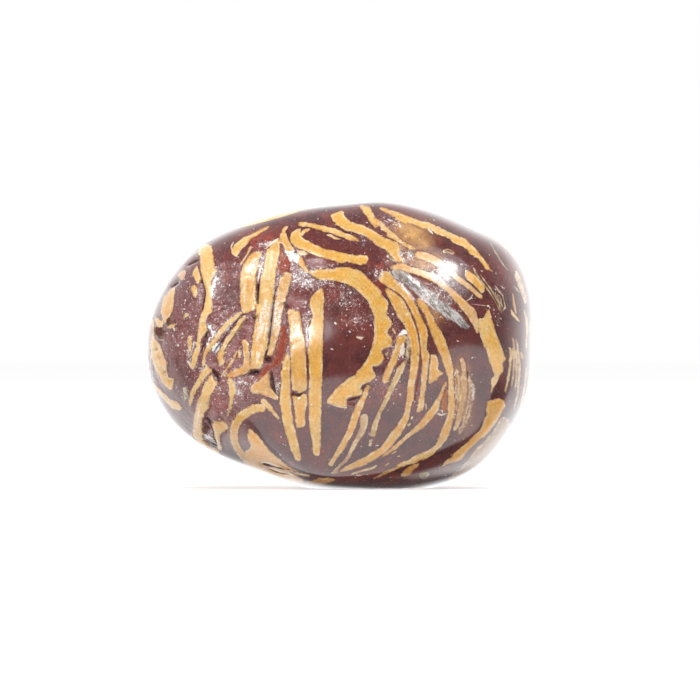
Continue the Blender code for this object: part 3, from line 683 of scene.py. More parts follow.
# Thin marks on top of the fragments and cracks between them
darkLines = {
    # sheenA to sheenK: painted highlight, pale granular streaks laid where a light's glare falls on the
    # uprights
    "sheenA": film("paintedSheen", [(266.4, 300), (264.6, 310), (262.6, 322), (259.8, 338)], (2, 5, 4.4, 1.6)),
    "sheenB": film("paintedSheen", [(269.6, 304), (267.6, 320), (265, 334)], (1.2, 3.4, 1.2)),
    "sheenC": film("paintedSheen", [(262.4, 307), (259.6, 326), (256.8, 345)], (1.4, 3.6, 1.4)),
    "sheenD": film("paintedSheen", [(277.8, 302), (275.6, 315), (273.2, 331)], (1.6, 4.6, 1.8)),
    "sheenE": film("paintedSheen", [(280.2, 307), (278, 321), (276, 335)], (1.2, 3.4, 1.4)),
    "sheenF": film("paintedSheen", [(261.6, 345), (258.4, 356), (256.6, 363)], (0.6, 1.6, 0.7)),
    "sheenG": film("paintedSheen", [(257, 259), (251.6, 265), (247.6, 274)], (1.4, 3, 1)),
    "sheenH": film("paintedSheen", [(213.6, 268), (212.4, 282), (210.6, 297)], (0.7, 1.6, 0.8)),
    "sheenI": film("paintedSheen", [(272, 248), (271, 262), (268.6, 280)], (0.6, 1.3, 0.6)),
    "sheenJ": film("paintedSheen", [(244.4, 283), (244, 292), (244.6, 302)], (0.6, 1.4, 0.6)),
    "sheenK": film("paintedSheen", [(201.6, 402), (198, 414), (196.8, 428)], (0.6, 1.3, 0.6)),
    "arcGap": cut(0.05, [(293, 392), (298, 396), (304, 392)], (1.4, 2.8, 1.4)),
    "leftCrack": cut(0.08, [(200, 277), (204, 291), (203, 300), (201, 310)], (0.8, 1.8, 1.8, 1)),
    "leftCrackLow": cut(0.09, [(206.6, 331), (203.6, 338), (202, 345), (200, 352)], (0.8, 1.8, 2, 0.8)),
    "slantEdge": cut(0.06, [
        (243.6, 320.4), (236.6, 332), (228.6, 343), (223.4, 352)], (0.6, 0.9, 1.1, 0.7)),
    "prongGap": cut(0.12, [(211, 369), (214, 374), (216.4, 379.6), (216.6, 385.6)], (1.2, 2.8, 2.4, 0.8)),
    "forkEdge": cut(0.08, [(206, 419.6), (209, 423), (213, 424.6)], (1.2, 2.2, 1)),
    "wedgeEdge": cut(0.07, [(243.6, 376), (250, 373.6), (258, 371.6)], (1.2, 2, 1.4)),
    "deepGap": cut(0.16, [(257.4, 284), (257, 293), (257, 303)], (1.6, 2.2, 1.8)),
    "longGap": cut(0.08, [
        (275, 289), (272.6, 306), (270.4, 325), (268.4, 346), (264.6, 356)], (1, 1.3, 1.6, 1.6, 1.2)),
    "topGap": cut(0.06, [(284.2, 303), (286.6, 306.6), (287, 311)], (2.6, 3, 1.4)),
    "slantGap": cut(0.06, [(240.6, 314.6), (232.6, 325), (222.4, 339), (213, 352)], (0.8, 1.5, 1.5, 0.8)),
    "slitFirst": cut(0.04, [
        (262.6, 464.4), (267, 465.6), (272, 467), (280, 469), (290, 471)], (1.6, 2.6, 1.6, 1, 0.6)),
    "slitSecond": cut(0.03, [
        (269.6, 469.6), (276, 472.4), (283, 474.4), (289, 474.6)], (0.8, 1.4, 1.4, 0.6)),
    "slitThird": cut(0.02, [(279, 465.4), (288, 469.2), (296, 472.4)], (0.6, 1, 0.6)),
    "legCrack": cut(0.05, [
        (203.6, 419.6), (207, 422.4), (210, 427), (213, 436), (216, 445)], (1, 1.6, 1.8, 1.6, 1)),
    "footCrack": cut(0.06, [(206.6, 441), (210.4, 443.6), (216.6, 446.6)], (1.4, 2.4, 1)),
    "edgeCrack": cut(0.05, [(187.6, 264.4), (192, 261.8), (198, 259)], (1.2, 2, 1)),
    "rimCrack": cut(0.05, [(170.6, 286.6), (174, 284.4), (177.4, 282)], (1.4, 1.8, 1)),
    "patchLine": cut(0.06, [(271.6, 371), (271.6, 380), (272.6, 388), (277.4, 395.4)], (1.6, 3, 3.2, 1.2)),
    "underUpright": cut(0.05, [(257, 315.4), (255, 318.6), (252, 316.6)], (1, 2, 1)),
    "twinLine": cut(0, [(465.8, 280.2), (470.2, 283.4), (474.7, 287.2), (479.2, 291.8)], (0.9, 1, 1, 0.9)),
    "streakLine": cut(0, [(467.7, 371.6), (467.6, 379.4)], (0.8, 0.8)),
    "strandA": film("ember", [(456, 374), (457, 386), (456.2, 400), (454.6, 414)], (0.5, 1.1, 0.9, 0.5)),
    "strandB": film("umber", [(465.6, 401), (463.6, 411), (461.4, 420)], (0.4, 0.8, 0.4)),
    "strandC": film("ember", [(471, 388), (471, 397), (469, 407), (466.4, 417)], (0.5, 1.1, 1, 0.5)),
    "strandD": film("white", [(472.8, 384), (474.2, 389), (473.2, 400)], (0.7, 1.3, 0.7)),
    "strandE": film("cream", [(458.8, 378), (459, 390), (457.6, 404)], (0.5, 1, 0.5)),
    "strandF": film("ember", [(459.8, 426), (461.4, 419), (463, 412)], (0.5, 0.9, 0.5)),
    "strandG": film("cream", [(469.6, 381), (470, 390), (468.6, 402), (465.6, 415)], (0.4, 0.8, 0.8, 0.4)),
    "rimDotA": film("ash", [(152.8, 349.4), (155.6, 350.6)], (2, 1.6), 0.03),
    "rimDotB": film("tan", [(155.8, 359.4), (160.4, 359)], (1.2, 1.6), 0.03),
    "rimDotC": film("ash", [(160.6, 367.6), (162, 371.6)], (1.4, 1.8), 0.03),
    "rimDotD": film("tan", [(155.4, 342.6), (157.2, 346.6)], (1, 1.6), 0.02),
    "rimDotE": film("tan", [(163.4, 356), (163, 359.4)], (1, 1.2), 0.02),
    "rimDotF": film("clay", [(163.6, 372), (166, 375.6)], (1.4, 1), 0.02),
    "wallDashA": film("clay", [(527, 371.6), (527, 376.8)], (0.8, 0.6)),
    "wallDashB": film("clay", [(524.6, 383), (524, 391)], (0.8, 0.6)),
    "rootLine": cut(0, [
        (388, 287.6), (396, 292.8), (403.6, 299), (409.4, 309), (415, 322), (418.4, 337), (420.6, 353),
        (419.8, 369), (417.4, 384),
        (415, 399)], (0.8, 1.1, 1.1, 1.2, 1.2, 1.2, 1.2, 1.2, 1.1, 0.8), "brick"),
    "notchCrack": cut(0.04, [(361.4, 389), (366, 386), (369, 385.4)], (1.6, 2.4, 1.2)),
    "underNotch": cut(0.03, [(347.6, 400.6), (353, 399.4), (359.6, 397)], (1.4, 2.4, 1.2)),
    "crownCut": cut(0, [(387.6, 217.6), (393, 219.6), (396.6, 222)], (0.8, 1, 0.8)),
}

holes = {  # column, row, half width, half height, how deep in mm
    "underTallUpright": (267.5, 359.5, 4.6, 3.2, 0.17),
    "besidePeachPatch": (253.5, 372.8, 5.8, 2.6, 0.17),
    "rimShadow": (158, 332, 4.6, 6.4, 0.05),
    "besideLeg": (206.5, 430, 3, 5.4, 0.09),
    "leftRimA": (155.6, 349, 2.4, 1.6, 0.08),
    "leftRimB": (159, 357, 2, 1.6, 0.07),
    "leftRimC": (164, 372, 2, 1.8, 0.07),
    "leftRimD": (170, 381, 2.2, 1.6, 0.07),
    "leftRimE": (161, 341, 1.4, 1.2, 0.06),
    "betweenUprights": (257, 292, 1.8, 8, 0.1),
    "topOfMiddle": (286, 306, 2.4, 3, 0.1),
    "slantUpper": (240, 332, 4, 8, 0.07),
    "betweenSlants": (228, 333, 2.6, 7, 0.06),
    "wedgeEdge": (246, 358, 3, 5, 0.07),
    "slantFoot": (213, 361, 4, 4, 0.08),
    "besideTeardrop": (222, 398, 7, 10, 0.06),
    "patchLine": (273.6, 384, 2, 9, 0.1),
    "underPatch": (244, 396, 5, 5, 0.06),
    "leftLongFoot": (196, 346, 2, 10, 0.06),
    "arcNotch": (364, 385, 2.4, 1.8, 0.05),
    "underArc": (353, 402, 6, 2.4, 0.04),
    "leftLongEdge": (201.6, 296, 2.4, 9, 0.06),
    "leftHollow": (183, 330, 8, 6, 0.05),
    "forkTop": (221, 422, 5, 5, 0.05),
    "leftRimTop": (160, 321, 4, 3, 0.05),
    "longGap": (271, 336, 1.6, 16, 0.05),
    "slantMiddle": (238, 344, 2.2, 6, 0.07),
    "leftLow": (183, 362, 9, 5, 0.03),
    "besideBlob": (434, 371, 3, 7, 0.02),
    "leaningEdge": (288, 392, 1.4, 9, 0.02),
    "slantLower": (218, 346, 2, 8, 0.06),
}

# Soft patches: column, row, half width, half height, strength
patches = {
    "brick": [
        (263, 241, 18, 9, 1), (252, 238, 12, 7, 1), (286, 262, 7, 14, 0.8), (281, 347, 7, 20, 0.6),
        (266, 372, 9, 9, 0.7), (219, 402, 13, 22, 0.85), (226, 368, 11, 11, 0.8), (240, 385, 12, 8, 0.4),
        (329, 294, 12, 9, 0.5), (350, 325, 26, 22, 0.4), (381, 268, 8, 6, 0.8), (379, 288, 5, 12, 0.8),
        (296, 300, 12, 18, 0.45), (230, 330, 14, 16, 0.45), (205, 300, 10, 16, 0.4), (300, 350, 8, 30, 0.5),
        (360, 260, 30, 8, 0.45), (445, 400, 5, 14, 0.5), (325, 262, 14, 8, 0.3), (230, 428, 12, 10, 0.5),
        (180, 345, 12, 16, 0.3), (418, 385, 5, 30, 0.45), (384, 390, 14, 12, 0.4), (403, 355, 12, 12, 0.4),
        (270, 250, 8, 10, 0.6), (378, 476, 34, 5, 0.6), (463, 400, 8, 22, 0.4),
    ],
    "rough": [
        (279, 350, 6, 24, 1), (286, 261, 6, 15, 1), (291, 303, 11, 6, 0.9), (236, 350, 32, 44, 1),
        (215, 395, 26, 34, 1), (186, 330, 20, 36, 0.75), (262, 385, 16, 16, 0.9), (264, 320, 18, 44, 0.75),
        (262, 262, 26, 22, 0.5), (300, 268, 22, 14, 0.65), (296, 315, 22, 26, 0.4), (208, 280, 16, 34, 0.6),
        (205, 434, 12, 12, 0.7), (392, 345, 16, 26, 0.45), (402, 262, 18, 14, 0.45),
        (385, 395, 12, 12, 0.4), (345, 395, 22, 10, 0.35), (160, 360, 12, 30, 0.5), (230, 425, 12, 16, 0.5),
        (420, 290, 22, 16, 0.4), (370, 235, 30, 16, 0.25), (462, 395, 12, 34, 0.3), (288, 350, 6, 40, 0.3),
    ],
    # real dust together with painted sparkle: pale specks and film laid where a light's glare falls on the
    # rough uprights and round the key highlight
    "dustAndSheen": [
        (426, 266, 14, 8, 0.45), (240, 392, 6, 11, 0.9), (205, 372, 8, 6, 0.7), (188, 352, 4, 10, 0.8),
        (448, 252, 12, 5, 0.3), (452, 288, 12, 6, 0.7), (464, 266, 8, 8, 0.45), (430, 296, 7, 5, 1),
        (228, 330, 8, 16, 0.5), (345, 300, 22, 12, 0.4), (299, 279, 18, 9, 1), (293, 257, 9, 9, 1),
        (288, 264, 8, 8, 0.8), (262, 262, 7, 18, 0.7), (255, 263, 9, 6, 1), (268, 243, 8, 4, 0.8),
        (320, 282, 16, 6, 0.7), (306, 276, 12, 6, 0.8), (275, 300, 6, 26, 0.55), (270, 330, 7, 24, 0.45),
        (307, 330, 8, 18, 0.7), (294, 330, 7, 16, 0.6), (216, 280, 6, 18, 0.7), (345, 292, 14, 8, 0.6),
        (402, 256, 14, 9, 0.7), (378, 274, 9, 6, 0.7), (362, 240, 9, 7, 0.45), (358, 320, 14, 9, 0.45),
        (400, 350, 9, 14, 0.7), (210, 332, 12, 14, 0.45), (185, 350, 18, 30, 0.22), (232, 300, 14, 30, 0.2),
        (222, 390, 24, 36, 0.3), (247, 376, 12, 12, 0.6), (275, 386, 6, 10, 0.7), (385, 385, 14, 14, 0.3),
        (424, 376, 5, 26, 0.3), (205, 440, 10, 8, 0.7), (415, 420, 10, 9, 0.2), (340, 402, 14, 6, 0.6),
        (443, 413, 9, 4, 0.6), (395, 320, 8, 20, 0.4), (475, 385, 6, 20, 0.1), (186, 295, 14, 26, 0.3),
        (325, 268, 26, 6, 0.35), (450, 300, 24, 20, 0.3), (500, 300, 10, 26, 0.2), (361, 337, 3, 2, 0.9),
        (358, 321, 5, 3, 0.9), (344, 321, 3, 2, 0.8), (372, 318, 2, 4, 0.8), (386, 222, 14, 8, 0.6),
        (497, 318, 4, 5, 0.3), (392, 225, 8, 12, 0.4), (318, 300, 8, 20, 0.4), (437, 300, 16, 14, 0.4),
        (255, 345, 6, 20, 0.4),
    ],
    "ochre": [
        (424, 263, 12, 7, 0.8), (434, 259, 8, 5, 0.6), (412, 256, 10, 5, 0.5), (462, 392, 7, 20, 0.8),
        (466, 412, 5, 14, 0.55), (428, 298, 8, 5, 0.35), (434, 316, 7, 10, 0.4), (412, 234, 15, 11, 1),
        (403, 226, 9, 6, 0.8), (424, 244, 8, 6, 0.75), (399, 247, 8, 6, 0.5),
    ],
    "rust": [
        (424, 264, 16, 9, 1), (408, 288, 8, 8, 0.6), (421, 312, 8, 10, 0.6), (370, 232, 8, 5, 0.3),
        (429, 284, 14, 7, 0.8), (438, 314, 8, 11, 0.85), (450, 300, 8, 8, 0.5), (428, 305, 6, 12, 0.5),
        (402, 259, 10, 6, 0.6), (464, 396, 9, 30, 1), (420, 262, 9, 5, 0.6), (392, 385, 5, 20, 0.35),
        (456, 368, 7, 12, 0.5), (434, 372, 4, 10, 0.5), (410, 350, 3, 14, 0.5),
    ],
    "calm": [  # even, well polished matrix without specks
        (341, 340, 20, 34, 0.7), (460, 250, 24, 14, 0.8), (474, 340, 14, 26, 0.8), (385, 425, 18, 22, 0.9),
        (337, 425, 14, 24, 0.9), (265, 430, 14, 14, 0.8), (500, 330, 12, 30, 0.7), (180, 430, 22, 26, 0.9),
        (420, 452, 22, 14, 0.7), (478, 395, 10, 30, 0.8), (220, 460, 20, 14, 0.8), (300, 440, 12, 18, 0.7),
        (285, 230, 20, 10, 0.3), (500, 450, 20, 30, 0.8), (520, 330, 14, 60, 0.7),
    ],
}


tones = {  # reflected part of red, green and blue light
    "gold": (0.80, 0.490, 0.145),
    "amber": (0.77, 0.44, 0.130),
    "orange": (0.74, 0.385, 0.10),
    # a brighter orange for the fragments low on the stone: painted light in place of the bounce from the
    # floor
    "brightLowOrange": (0.94, 0.54, 0.18),
    "straw": (0.56, 0.385, 0.16),
    "cream": (0.78, 0.55, 0.29),
    "peach": (0.66, 0.37, 0.20),
    "apricot": (0.74, 0.45, 0.19),
    "biscuit": (0.86, 0.56, 0.215),
    "rose": (0.76, 0.47, 0.225),
    "blush": (0.60, 0.43, 0.31),
    "sand": (0.58, 0.40, 0.24),
    "olive": (0.36, 0.30, 0.18),
    "ash": (0.44, 0.38, 0.30),
    "brick": (0.40, 0.070, 0.034),
    "tan": (0.52, 0.30, 0.15),
    "slate": (0.22, 0.23, 0.25),
    "white": (0.97, 0.94, 0.92),
    # colour of the painted highlight streaks on the uprights
    "paintedSheen": (0.98, 0.90, 0.82),
    "dusk": (0.045, 0.022, 0.02),
    "umber": (0.120, 0.042, 0.032),
    "fawn": (0.60, 0.35, 0.15),
    "clay": (0.40, 0.22, 0.155),
    "ember": (0.32, 0.058, 0.036),
    "salmon": (0.50, 0.205, 0.12),
    "lilac": (0.50, 0.22, 0.40),
    "dun": (0.34, 0.20, 0.13),
}

layout = {  # all in pixels of the photograph
    "chartMiddle": (341, 345),  # the chart is unrolled away from here behind the widest line
    "unrollFrom": 0.5,  # mm behind the stone's middle
    "unroll": 1.3,  # how much faster the chart grows there than the surface
    "chartEnds": 3.6,  # mm behind the middle where the front marks give way to the seeded ones
    "far": 8.0,  # distances are cut off here
    "wide": 3.4,  # paths at least this wide are laid out as outlines
    "reach": 4.0,  # how far from its middle line a thin path is known
    "shardLayers": 3,
    "lineLayers": 3,
    "crackLayers": 2,
    "shardRoom": 3.0,  # marks nearer than this to each other go into different layers
}


def frontChart(places):
    # where each vertex shows in the photograph
    away = photo["cameraAway"]
    cameraX, cameraZ = cameraOffset()
    inMm = places / mm
    scale = away / (away + inMm[:, 1]) / photo["mmPerPixel"]
    half = photo["width"] / 2
    spots = np.stack([half + (inMm[:, 0] - cameraX) * scale, half - (inMm[:, 2] - cameraZ) * scale], 1)
    outward = spots - layout["chartMiddle"]
    radius = np.linalg.norm(outward, axis=1)
    behind = np.maximum(0, inMm[:, 1] - layout["unrollFrom"]) * layout["unroll"] / photo["mmPerPixel"]
    return layout["chartMiddle"] + outward * (1 + behind / np.maximum(radius, 1))[:, None]


def smoothLine(points, closed, steps=3):
    # a curve that runs through the points
    points = np.array(points, float)
    count = len(points)
    curve = []
    for index in range(count if closed else count - 1):
        if closed:
            before, here, after, later = (points[(index + shift) % count] for shift in (-1, 0, 1, 2))
        else:
            before, here = points[max(index - 1, 0)], points[index]
            after, later = points[index + 1], points[min(index + 2, count - 1)]
        for step in range(steps):
            t = step / steps
            curve.append(0.5 * (
                2 * here + (after - before) * t + (2 * before - 5 * here + 4 * after - later) * t ** 2
                + (3 * here - before - 3 * after + later) * t ** 3
            ))
    curve.append(curve[0] if closed else points[-1])
    return np.array(curve)


def nearestOn(line, spots):
    # for each spot: distance to the line, side of it, place along it and how far past its end
    starts, along = line[:-1], np.diff(line, axis=0)
    squared = np.maximum((along ** 2).sum(1), 1e-12)
    offset = spots[:, None] - starts
    free = (offset * along).sum(2) / squared
    held = np.clip(free, 0, 1)
    gap = np.linalg.norm(offset - held[..., None] * along, axis=2)
    best = gap.argmin(1)
    rows = np.arange(len(spots))
    offset, free, held = offset[rows, best], free[rows, best], held[rows, best]
    cross = along[best, 0] * offset[:, 1] - along[best, 1] * offset[:, 0]
    length = np.sqrt(squared[best])
    pastEnd = ((best == 0) & (free < 0)) | ((best == len(starts) - 1) & (free > 1))
    past = np.where(pastEnd, np.abs(free - held) * length, 0)
    side = np.where(pastEnd, cross / length, np.sign(cross) * gap[rows, best])
    return gap[rows, best], side, (best + held) / len(starts), past


def insideLoop(loop, spots):
    starts, ends = loop[:-1], loop[1:]
    across, down = spots[:, :1], spots[:, 1:]
    passes = (starts[:, 1] > down) != (ends[:, 1] > down)
    rise = np.where(ends[:, 1] == starts[:, 1], 1e-9, ends[:, 1] - starts[:, 1])
    where = starts[:, 0] + (down - starts[:, 1]) * (ends[:, 0] - starts[:, 0]) / rise
    return (passes & (across < where)).sum(1) % 2 == 1


def newLayer(count):
    return {
        "form": np.tile((layout["far"], 1.0, 0.0), (count, 1)),  # distance, fuzz, mottling
        "tone": np.tile(tones["gold"] + (1.0,), (count, 1)),
        "gap": np.full(count, layout["far"]),
    }


def quietest(layers, rows, gap, limit):
    # the layer whose marks lie furthest from this one
    clashes = [int(((layer["gap"][rows] + np.maximum(gap, 0)) < limit).sum()) for layer in layers]
    return layers[int(np.argmin(clashes))]


def putShard(rows, gap, tone, fuzz, mottle, shards):
    layer = quietest(shards, rows, gap, layout["shardRoom"])
    lead = gap < layer["gap"][rows]
    rows, gap = rows[lead], gap[lead]
    layer["form"][rows] = np.stack([gap, np.full(len(rows), fuzz), np.full(len(rows), mottle)], 1)
    layer["tone"][rows, :3] = tone
    layer["gap"][rows] = gap


def layMark(mark, spots, usable, shards, lines):
    tone = tones[mark["tone"]]
    if "outline" in mark:
        line = smoothLine(mark["outline"], True)
    else:
        line = smoothLine(mark["path"], False)
    far = layout["far"]
    low, high = line.min(0) - far, line.max(0) + far
    rows = np.flatnonzero(usable & (spots > low).all(1) & (spots < high).all(1))
    if not len(rows):
        return
    gap, side, along, past = nearestOn(line, spots[rows])
    if "path" in mark:
        widths = mark["widths"]
        half = np.interp(along, np.linspace(0, 1, len(widths)), widths) / 2
    if "path" in mark and (not shards or max(mark["widths"]) < layout["wide"]):
        near = gap < far
        rows, gap, side, half, past = rows[near], gap[near], side[near], half[near], past[near]
        layer = quietest(lines, rows, gap - half, 2 * layout["reach"])
        lead = gap < layer["gap"][rows]
        half = half - past - np.clip((gap - layout["reach"]) * 8, 0, far)
        rows = rows[lead]
        flat = np.full(len(rows), mark.get("flat", 0.0))
        layer["form"][rows] = np.stack([side[lead], half[lead], flat], 1)
        layer["tone"][rows, :3] = tone
        layer["gap"][rows] = gap[lead]
        return
    if "path" in mark:
        gap = gap - half
    else:
        gap = np.where(insideLoop(line, spots[rows]), -gap, gap)
    putShard(rows, gap, tone, mark["fuzz"], mark["mottle"], shards)


def softPatches(patches, spots, usable):
    # each patch: column, row, half width, half height, strength
    clear = np.ones(len(spots))
    for column, row, halfWidth, halfHeight, strength in patches:
        squared = ((spots[:, 0] - column) / halfWidth) ** 2 + ((spots[:, 1] - row) / halfHeight) ** 2
        clear *= 1 - np.clip(strength * np.exp(-squared), 0, 1) * usable
    return 1 - clear


def storeVector(mesh, name, values):
    attribute = mesh.attributes.new(name, "FLOAT_VECTOR", "POINT")
    attribute.data.foreach_set("vector", np.ascontiguousarray(values, np.float32).ravel())


def storeColour(mesh, name, values):
    attribute = mesh.attributes.new(name, "FLOAT_COLOR", "POINT")
    attribute.data.foreach_set("color", np.ascontiguousarray(values, np.float32).ravel())


hidden = {  # the sides the photograph doesn't show get fragments of the same kind
    "seed": 31,
    "startLimit": 0.08,
    "faceLimit": (0.04, 0.20),  # a group ends where the surface turns this far to the camera
    "groups": 84,
    "tries": 14,  # for each group
    "inGroup": (2, 6),
    "length": (3.4, 9.0),  # mm
    "ownLength": (0.6, 1.1),  # part of the group's length
    "shortest": 1.5,
    "width": (0.22, 0.56),
    "fewWider": 1.25,  # where a group has only one or two
    "between": (0.16, 0.42),
    "slip": 0.12,  # part of its length that a fragment is shifted along its neighbour
    "fan": 0.06,  # how far the heading changes from one to the next
    "blunt": (4, 14),
    "uneven": 0.15,  # part of the width
    "bend": 13.0,  # degrees in a mm
    "step": 0.14,
    "around": 7,  # pixels kept free round the front marks
    "clear": 0.42,  # mm kept free round another group
    "reach": 0.45,  # mm around a fragment that are known
    "fuzz": 1.3,
    "tones": ("gold", "gold", "gold", "amber", "amber", "apricot", "cream", "straw"),
}

ground = {  # the stone's own colours and wear on the hidden sides: size, seed, from, to, strength
    "brick": (0.45, 1, 0.52, 0.75, 0.8),
    "rough": (0.35, 2, 0.55, 0.8, 0.7),
    "dustAndSheen": (0.5, 3, 0.55, 0.8, 0.6),
    "rust": (0.4, 4, 0.62, 0.8, 0.6),
    "calm": (0.4, 5, 0.45, 0.65, 0.8),
}

relief = {  # mm, always inward
    "matrixInRough": 0.055,
    "lumpsInRough": 0.075,
    "lumpsPerMm": 2.4,
    "crackSpread": 1.2,  # pixels added to a crack's half width
    "flatZone": 0.35,  # nothing is moved lower than this
    "backFrom": 0.3,  # behind the middle, where the seeded ground begins
    "backFull": 2.2,
}


def turned(direction, normal, angle):
    side = np.cross(normal, direction)
    return direction * math.cos(angle) + side * math.sin(angle)


def walkOn(tree, places, normals, start, heading, length, bend, blocked):
    # a trail over the surface from the start, stopped where it would run into other marks
    spot, trail = start.copy(), []
    for step in range(int(length / hidden["step"])):
        index = tree.find(spot)[1]
        if blocked[index]:
            break
        normal = normals[index]
        spot = spot - normal * np.dot(spot - places[index], normal)
        heading = heading - normal * np.dot(heading, normal)
        heading = turned(heading / np.linalg.norm(heading), normal, math.radians(bend * hidden["step"]))
        trail.append(spot)
        spot = spot + heading * hidden["step"] * mm
    return np.array(trail)


def facingCamera(places, normals):
    across, up = cameraOffset()
    toCamera = np.array((across, -photo["cameraAway"], up)) * mm - places
    toCamera /= np.linalg.norm(toCamera, axis=1)[:, None]
    return (normals * toCamera).sum(1)


def growGroup(draw, tree, places, normals, index, blocked):
    # a few fragments side by side: for each its trail, half widths in mm and tone
    spot, normal = places[index], normals[index]
    heading = np.cross(normal, draw.normal(size=3))
    heading /= np.linalg.norm(heading)
    bend = draw.normal() * hidden["bend"]
    count = draw.integers(*hidden["inGroup"])
    length = draw.uniform(*hidden["length"])
    slip = hidden["slip"]
    fresh = []
    for number in range(count):
        width = draw.uniform(*hidden["width"]) * (1.0 if count > 2 else hidden["fewWider"])
        own = length * draw.uniform(*hidden["ownLength"])
        trail = walkOn(tree, places, normals, spot, heading, own / 2, bend, blocked)
        back = walkOn(tree, places, normals, spot, -heading, own / 2, -bend, blocked)
        spot = spot + np.cross(normal, heading) * (width + draw.uniform(*hidden["between"])) * mm
        spot = spot + heading * draw.uniform(-slip, slip) * own * mm
        heading = turned(heading, normal, draw.normal() * hidden["fan"])
        if len(trail) < 2 or len(back) < 2:
            continue
        trail = np.concatenate([back[:0:-1], trail])
        if len(trail) * hidden["step"] < hidden["shortest"]:
            continue
        place = np.linspace(0, 1, len(trail))
        blunt = draw.uniform(*hidden["blunt"])
        half = width / 2 * np.clip(np.minimum(place, 1 - place) * blunt, 0.08, 1)
        half *= 1 + hidden["uneven"] * np.interp(place, np.linspace(0, 1, 9), draw.normal(size=9))
        fresh.append((trail, half, hidden["tones"][draw.integers(len(hidden["tones"]))]))
    return fresh


def layTrail(trail, half, tone, places, shards):
    margin = hidden["reach"] * mm
    low, high = trail.min(0) - margin, trail.max(0) + margin
    rows = np.flatnonzero((places > low).all(1) & (places < high).all(1))
    firsts, along = trail[:-1], np.diff(trail, axis=0)
    offset = places[rows][:, None] - firsts
    held = np.clip((offset * along).sum(2) / (along ** 2).sum(1), 0, 1)
    gap = np.linalg.norm(offset - held[..., None] * along, axis=2)
    best = gap.argmin(1)
    where = (best + held[np.arange(len(rows)), best]) / len(firsts)
    gap = gap.min(1) / mm - np.interp(where, np.linspace(0, 1, len(half)), half)
    gap = np.minimum(gap / photo["mmPerPixel"], layout["far"])
    putShard(rows, gap, tones[tone], hidden["fuzz"], 0.0, shards)


def hiddenMarks(places, normals, shards):
    draw = np.random.default_rng(hidden["seed"])
    tree = kdtree.KDTree(len(places))
    for index, spot in enumerate(places):
        tree.insert(spot, index)
    tree.balance()
    taken = np.minimum.reduce([layer["gap"] for layer in shards]) < hidden["around"]
    facing = facingCamera(places, normals)
    starts = np.flatnonzero((facing < hidden["startLimit"]) & ~taken)
    groups = 0
    for attempt in range(hidden["groups"] * hidden["tries"]):
        if groups == hidden["groups"]:
            break
        index = draw.choice(starts)
        if taken[index]:
            continue
        blocked = taken | (facing > draw.uniform(*hidden["faceLimit"]))
        fresh = growGroup(draw, tree, places, normals, index, blocked)
        for trail, half, tone in fresh:
            layTrail(trail, half, tone, places, shards)
        for trail, half, tone in fresh:
            for spotOnTrail in trail[::3]:
                for hit in tree.find_range(spotOnTrail, hidden["clear"] * mm):
                    taken[hit[1]] = True
        groups += bool(fresh)
    return groups


def steps01(values, low, high):
    t = np.clip((values - low) / (high - low), 0, 1)
    return t * t * (3 - 2 * t)


def cloud(places, scale, seed):
    # soft noise between 0 and 1 at each vertex
    shift = Vector((seed * 7.3, seed * 3.1, seed * 5.7))
    values = [noise.fractal(Vector(spot) + shift, 0.8, 2.0, 3) for spot in places / mm * scale]
    return np.clip(0.5 + 0.5 * np.array(values), 0, 1)


def halfWidths(mark, along):
    return np.interp(along, np.linspace(0, 1, len(mark["widths"])), mark["widths"]) / 2


def layFrontMarks(spots, usable, shards, lines):
    families = (crownFragments, leftFragments, uprightFragments, arcFragments, fanFragments,
                rightFragments, footFragments, patchFragments, lightLines)
    for family in families:
        for mark in family.values():
            layMark(mark, spots, usable, shards, lines)
    print("front marks done:", sum(len(family) for family in families))


def zoneStrengths(places, spots, usable):
    back = steps01(places[:, 1], relief["backFrom"] * mm, relief["backFull"] * mm)
    zones = {name: softPatches(listed, spots, usable) for name, listed in patches.items()}
    for name, (scale, seed, low, high, strength) in ground.items():
        clouded = back * steps01(cloud(places, scale, seed), low, high) * strength
        zones[name] = np.maximum(zones[name], clouded)
    return zones


def pitDepths(spots, usable):
    pit = np.zeros(len(spots))
    for column, row, halfWidth, halfHeight, depth in holes.values():
        squared = ((spots[:, 0] - column) / halfWidth) ** 2 + ((spots[:, 1] - row) / halfHeight) ** 2
        pit = np.maximum(pit, depth * np.exp(-squared ** 1.5) * usable)
    return pit


def cutCracks(inward, spots, usable):
    for mark in darkLines.values():
        line = smoothLine(mark["path"], False)
        low, high = line.min(0) - 6, line.max(0) + 6
        rows = np.flatnonzero(usable & (spots > low).all(1) & (spots < high).all(1))
        gap, side, along, past = nearestOn(line, spots[rows])
        spread = halfWidths(mark, along) + relief["crackSpread"]
        inward[rows] = np.maximum(inward[rows], mark["depth"] * np.exp(-(gap / spread) ** 2))


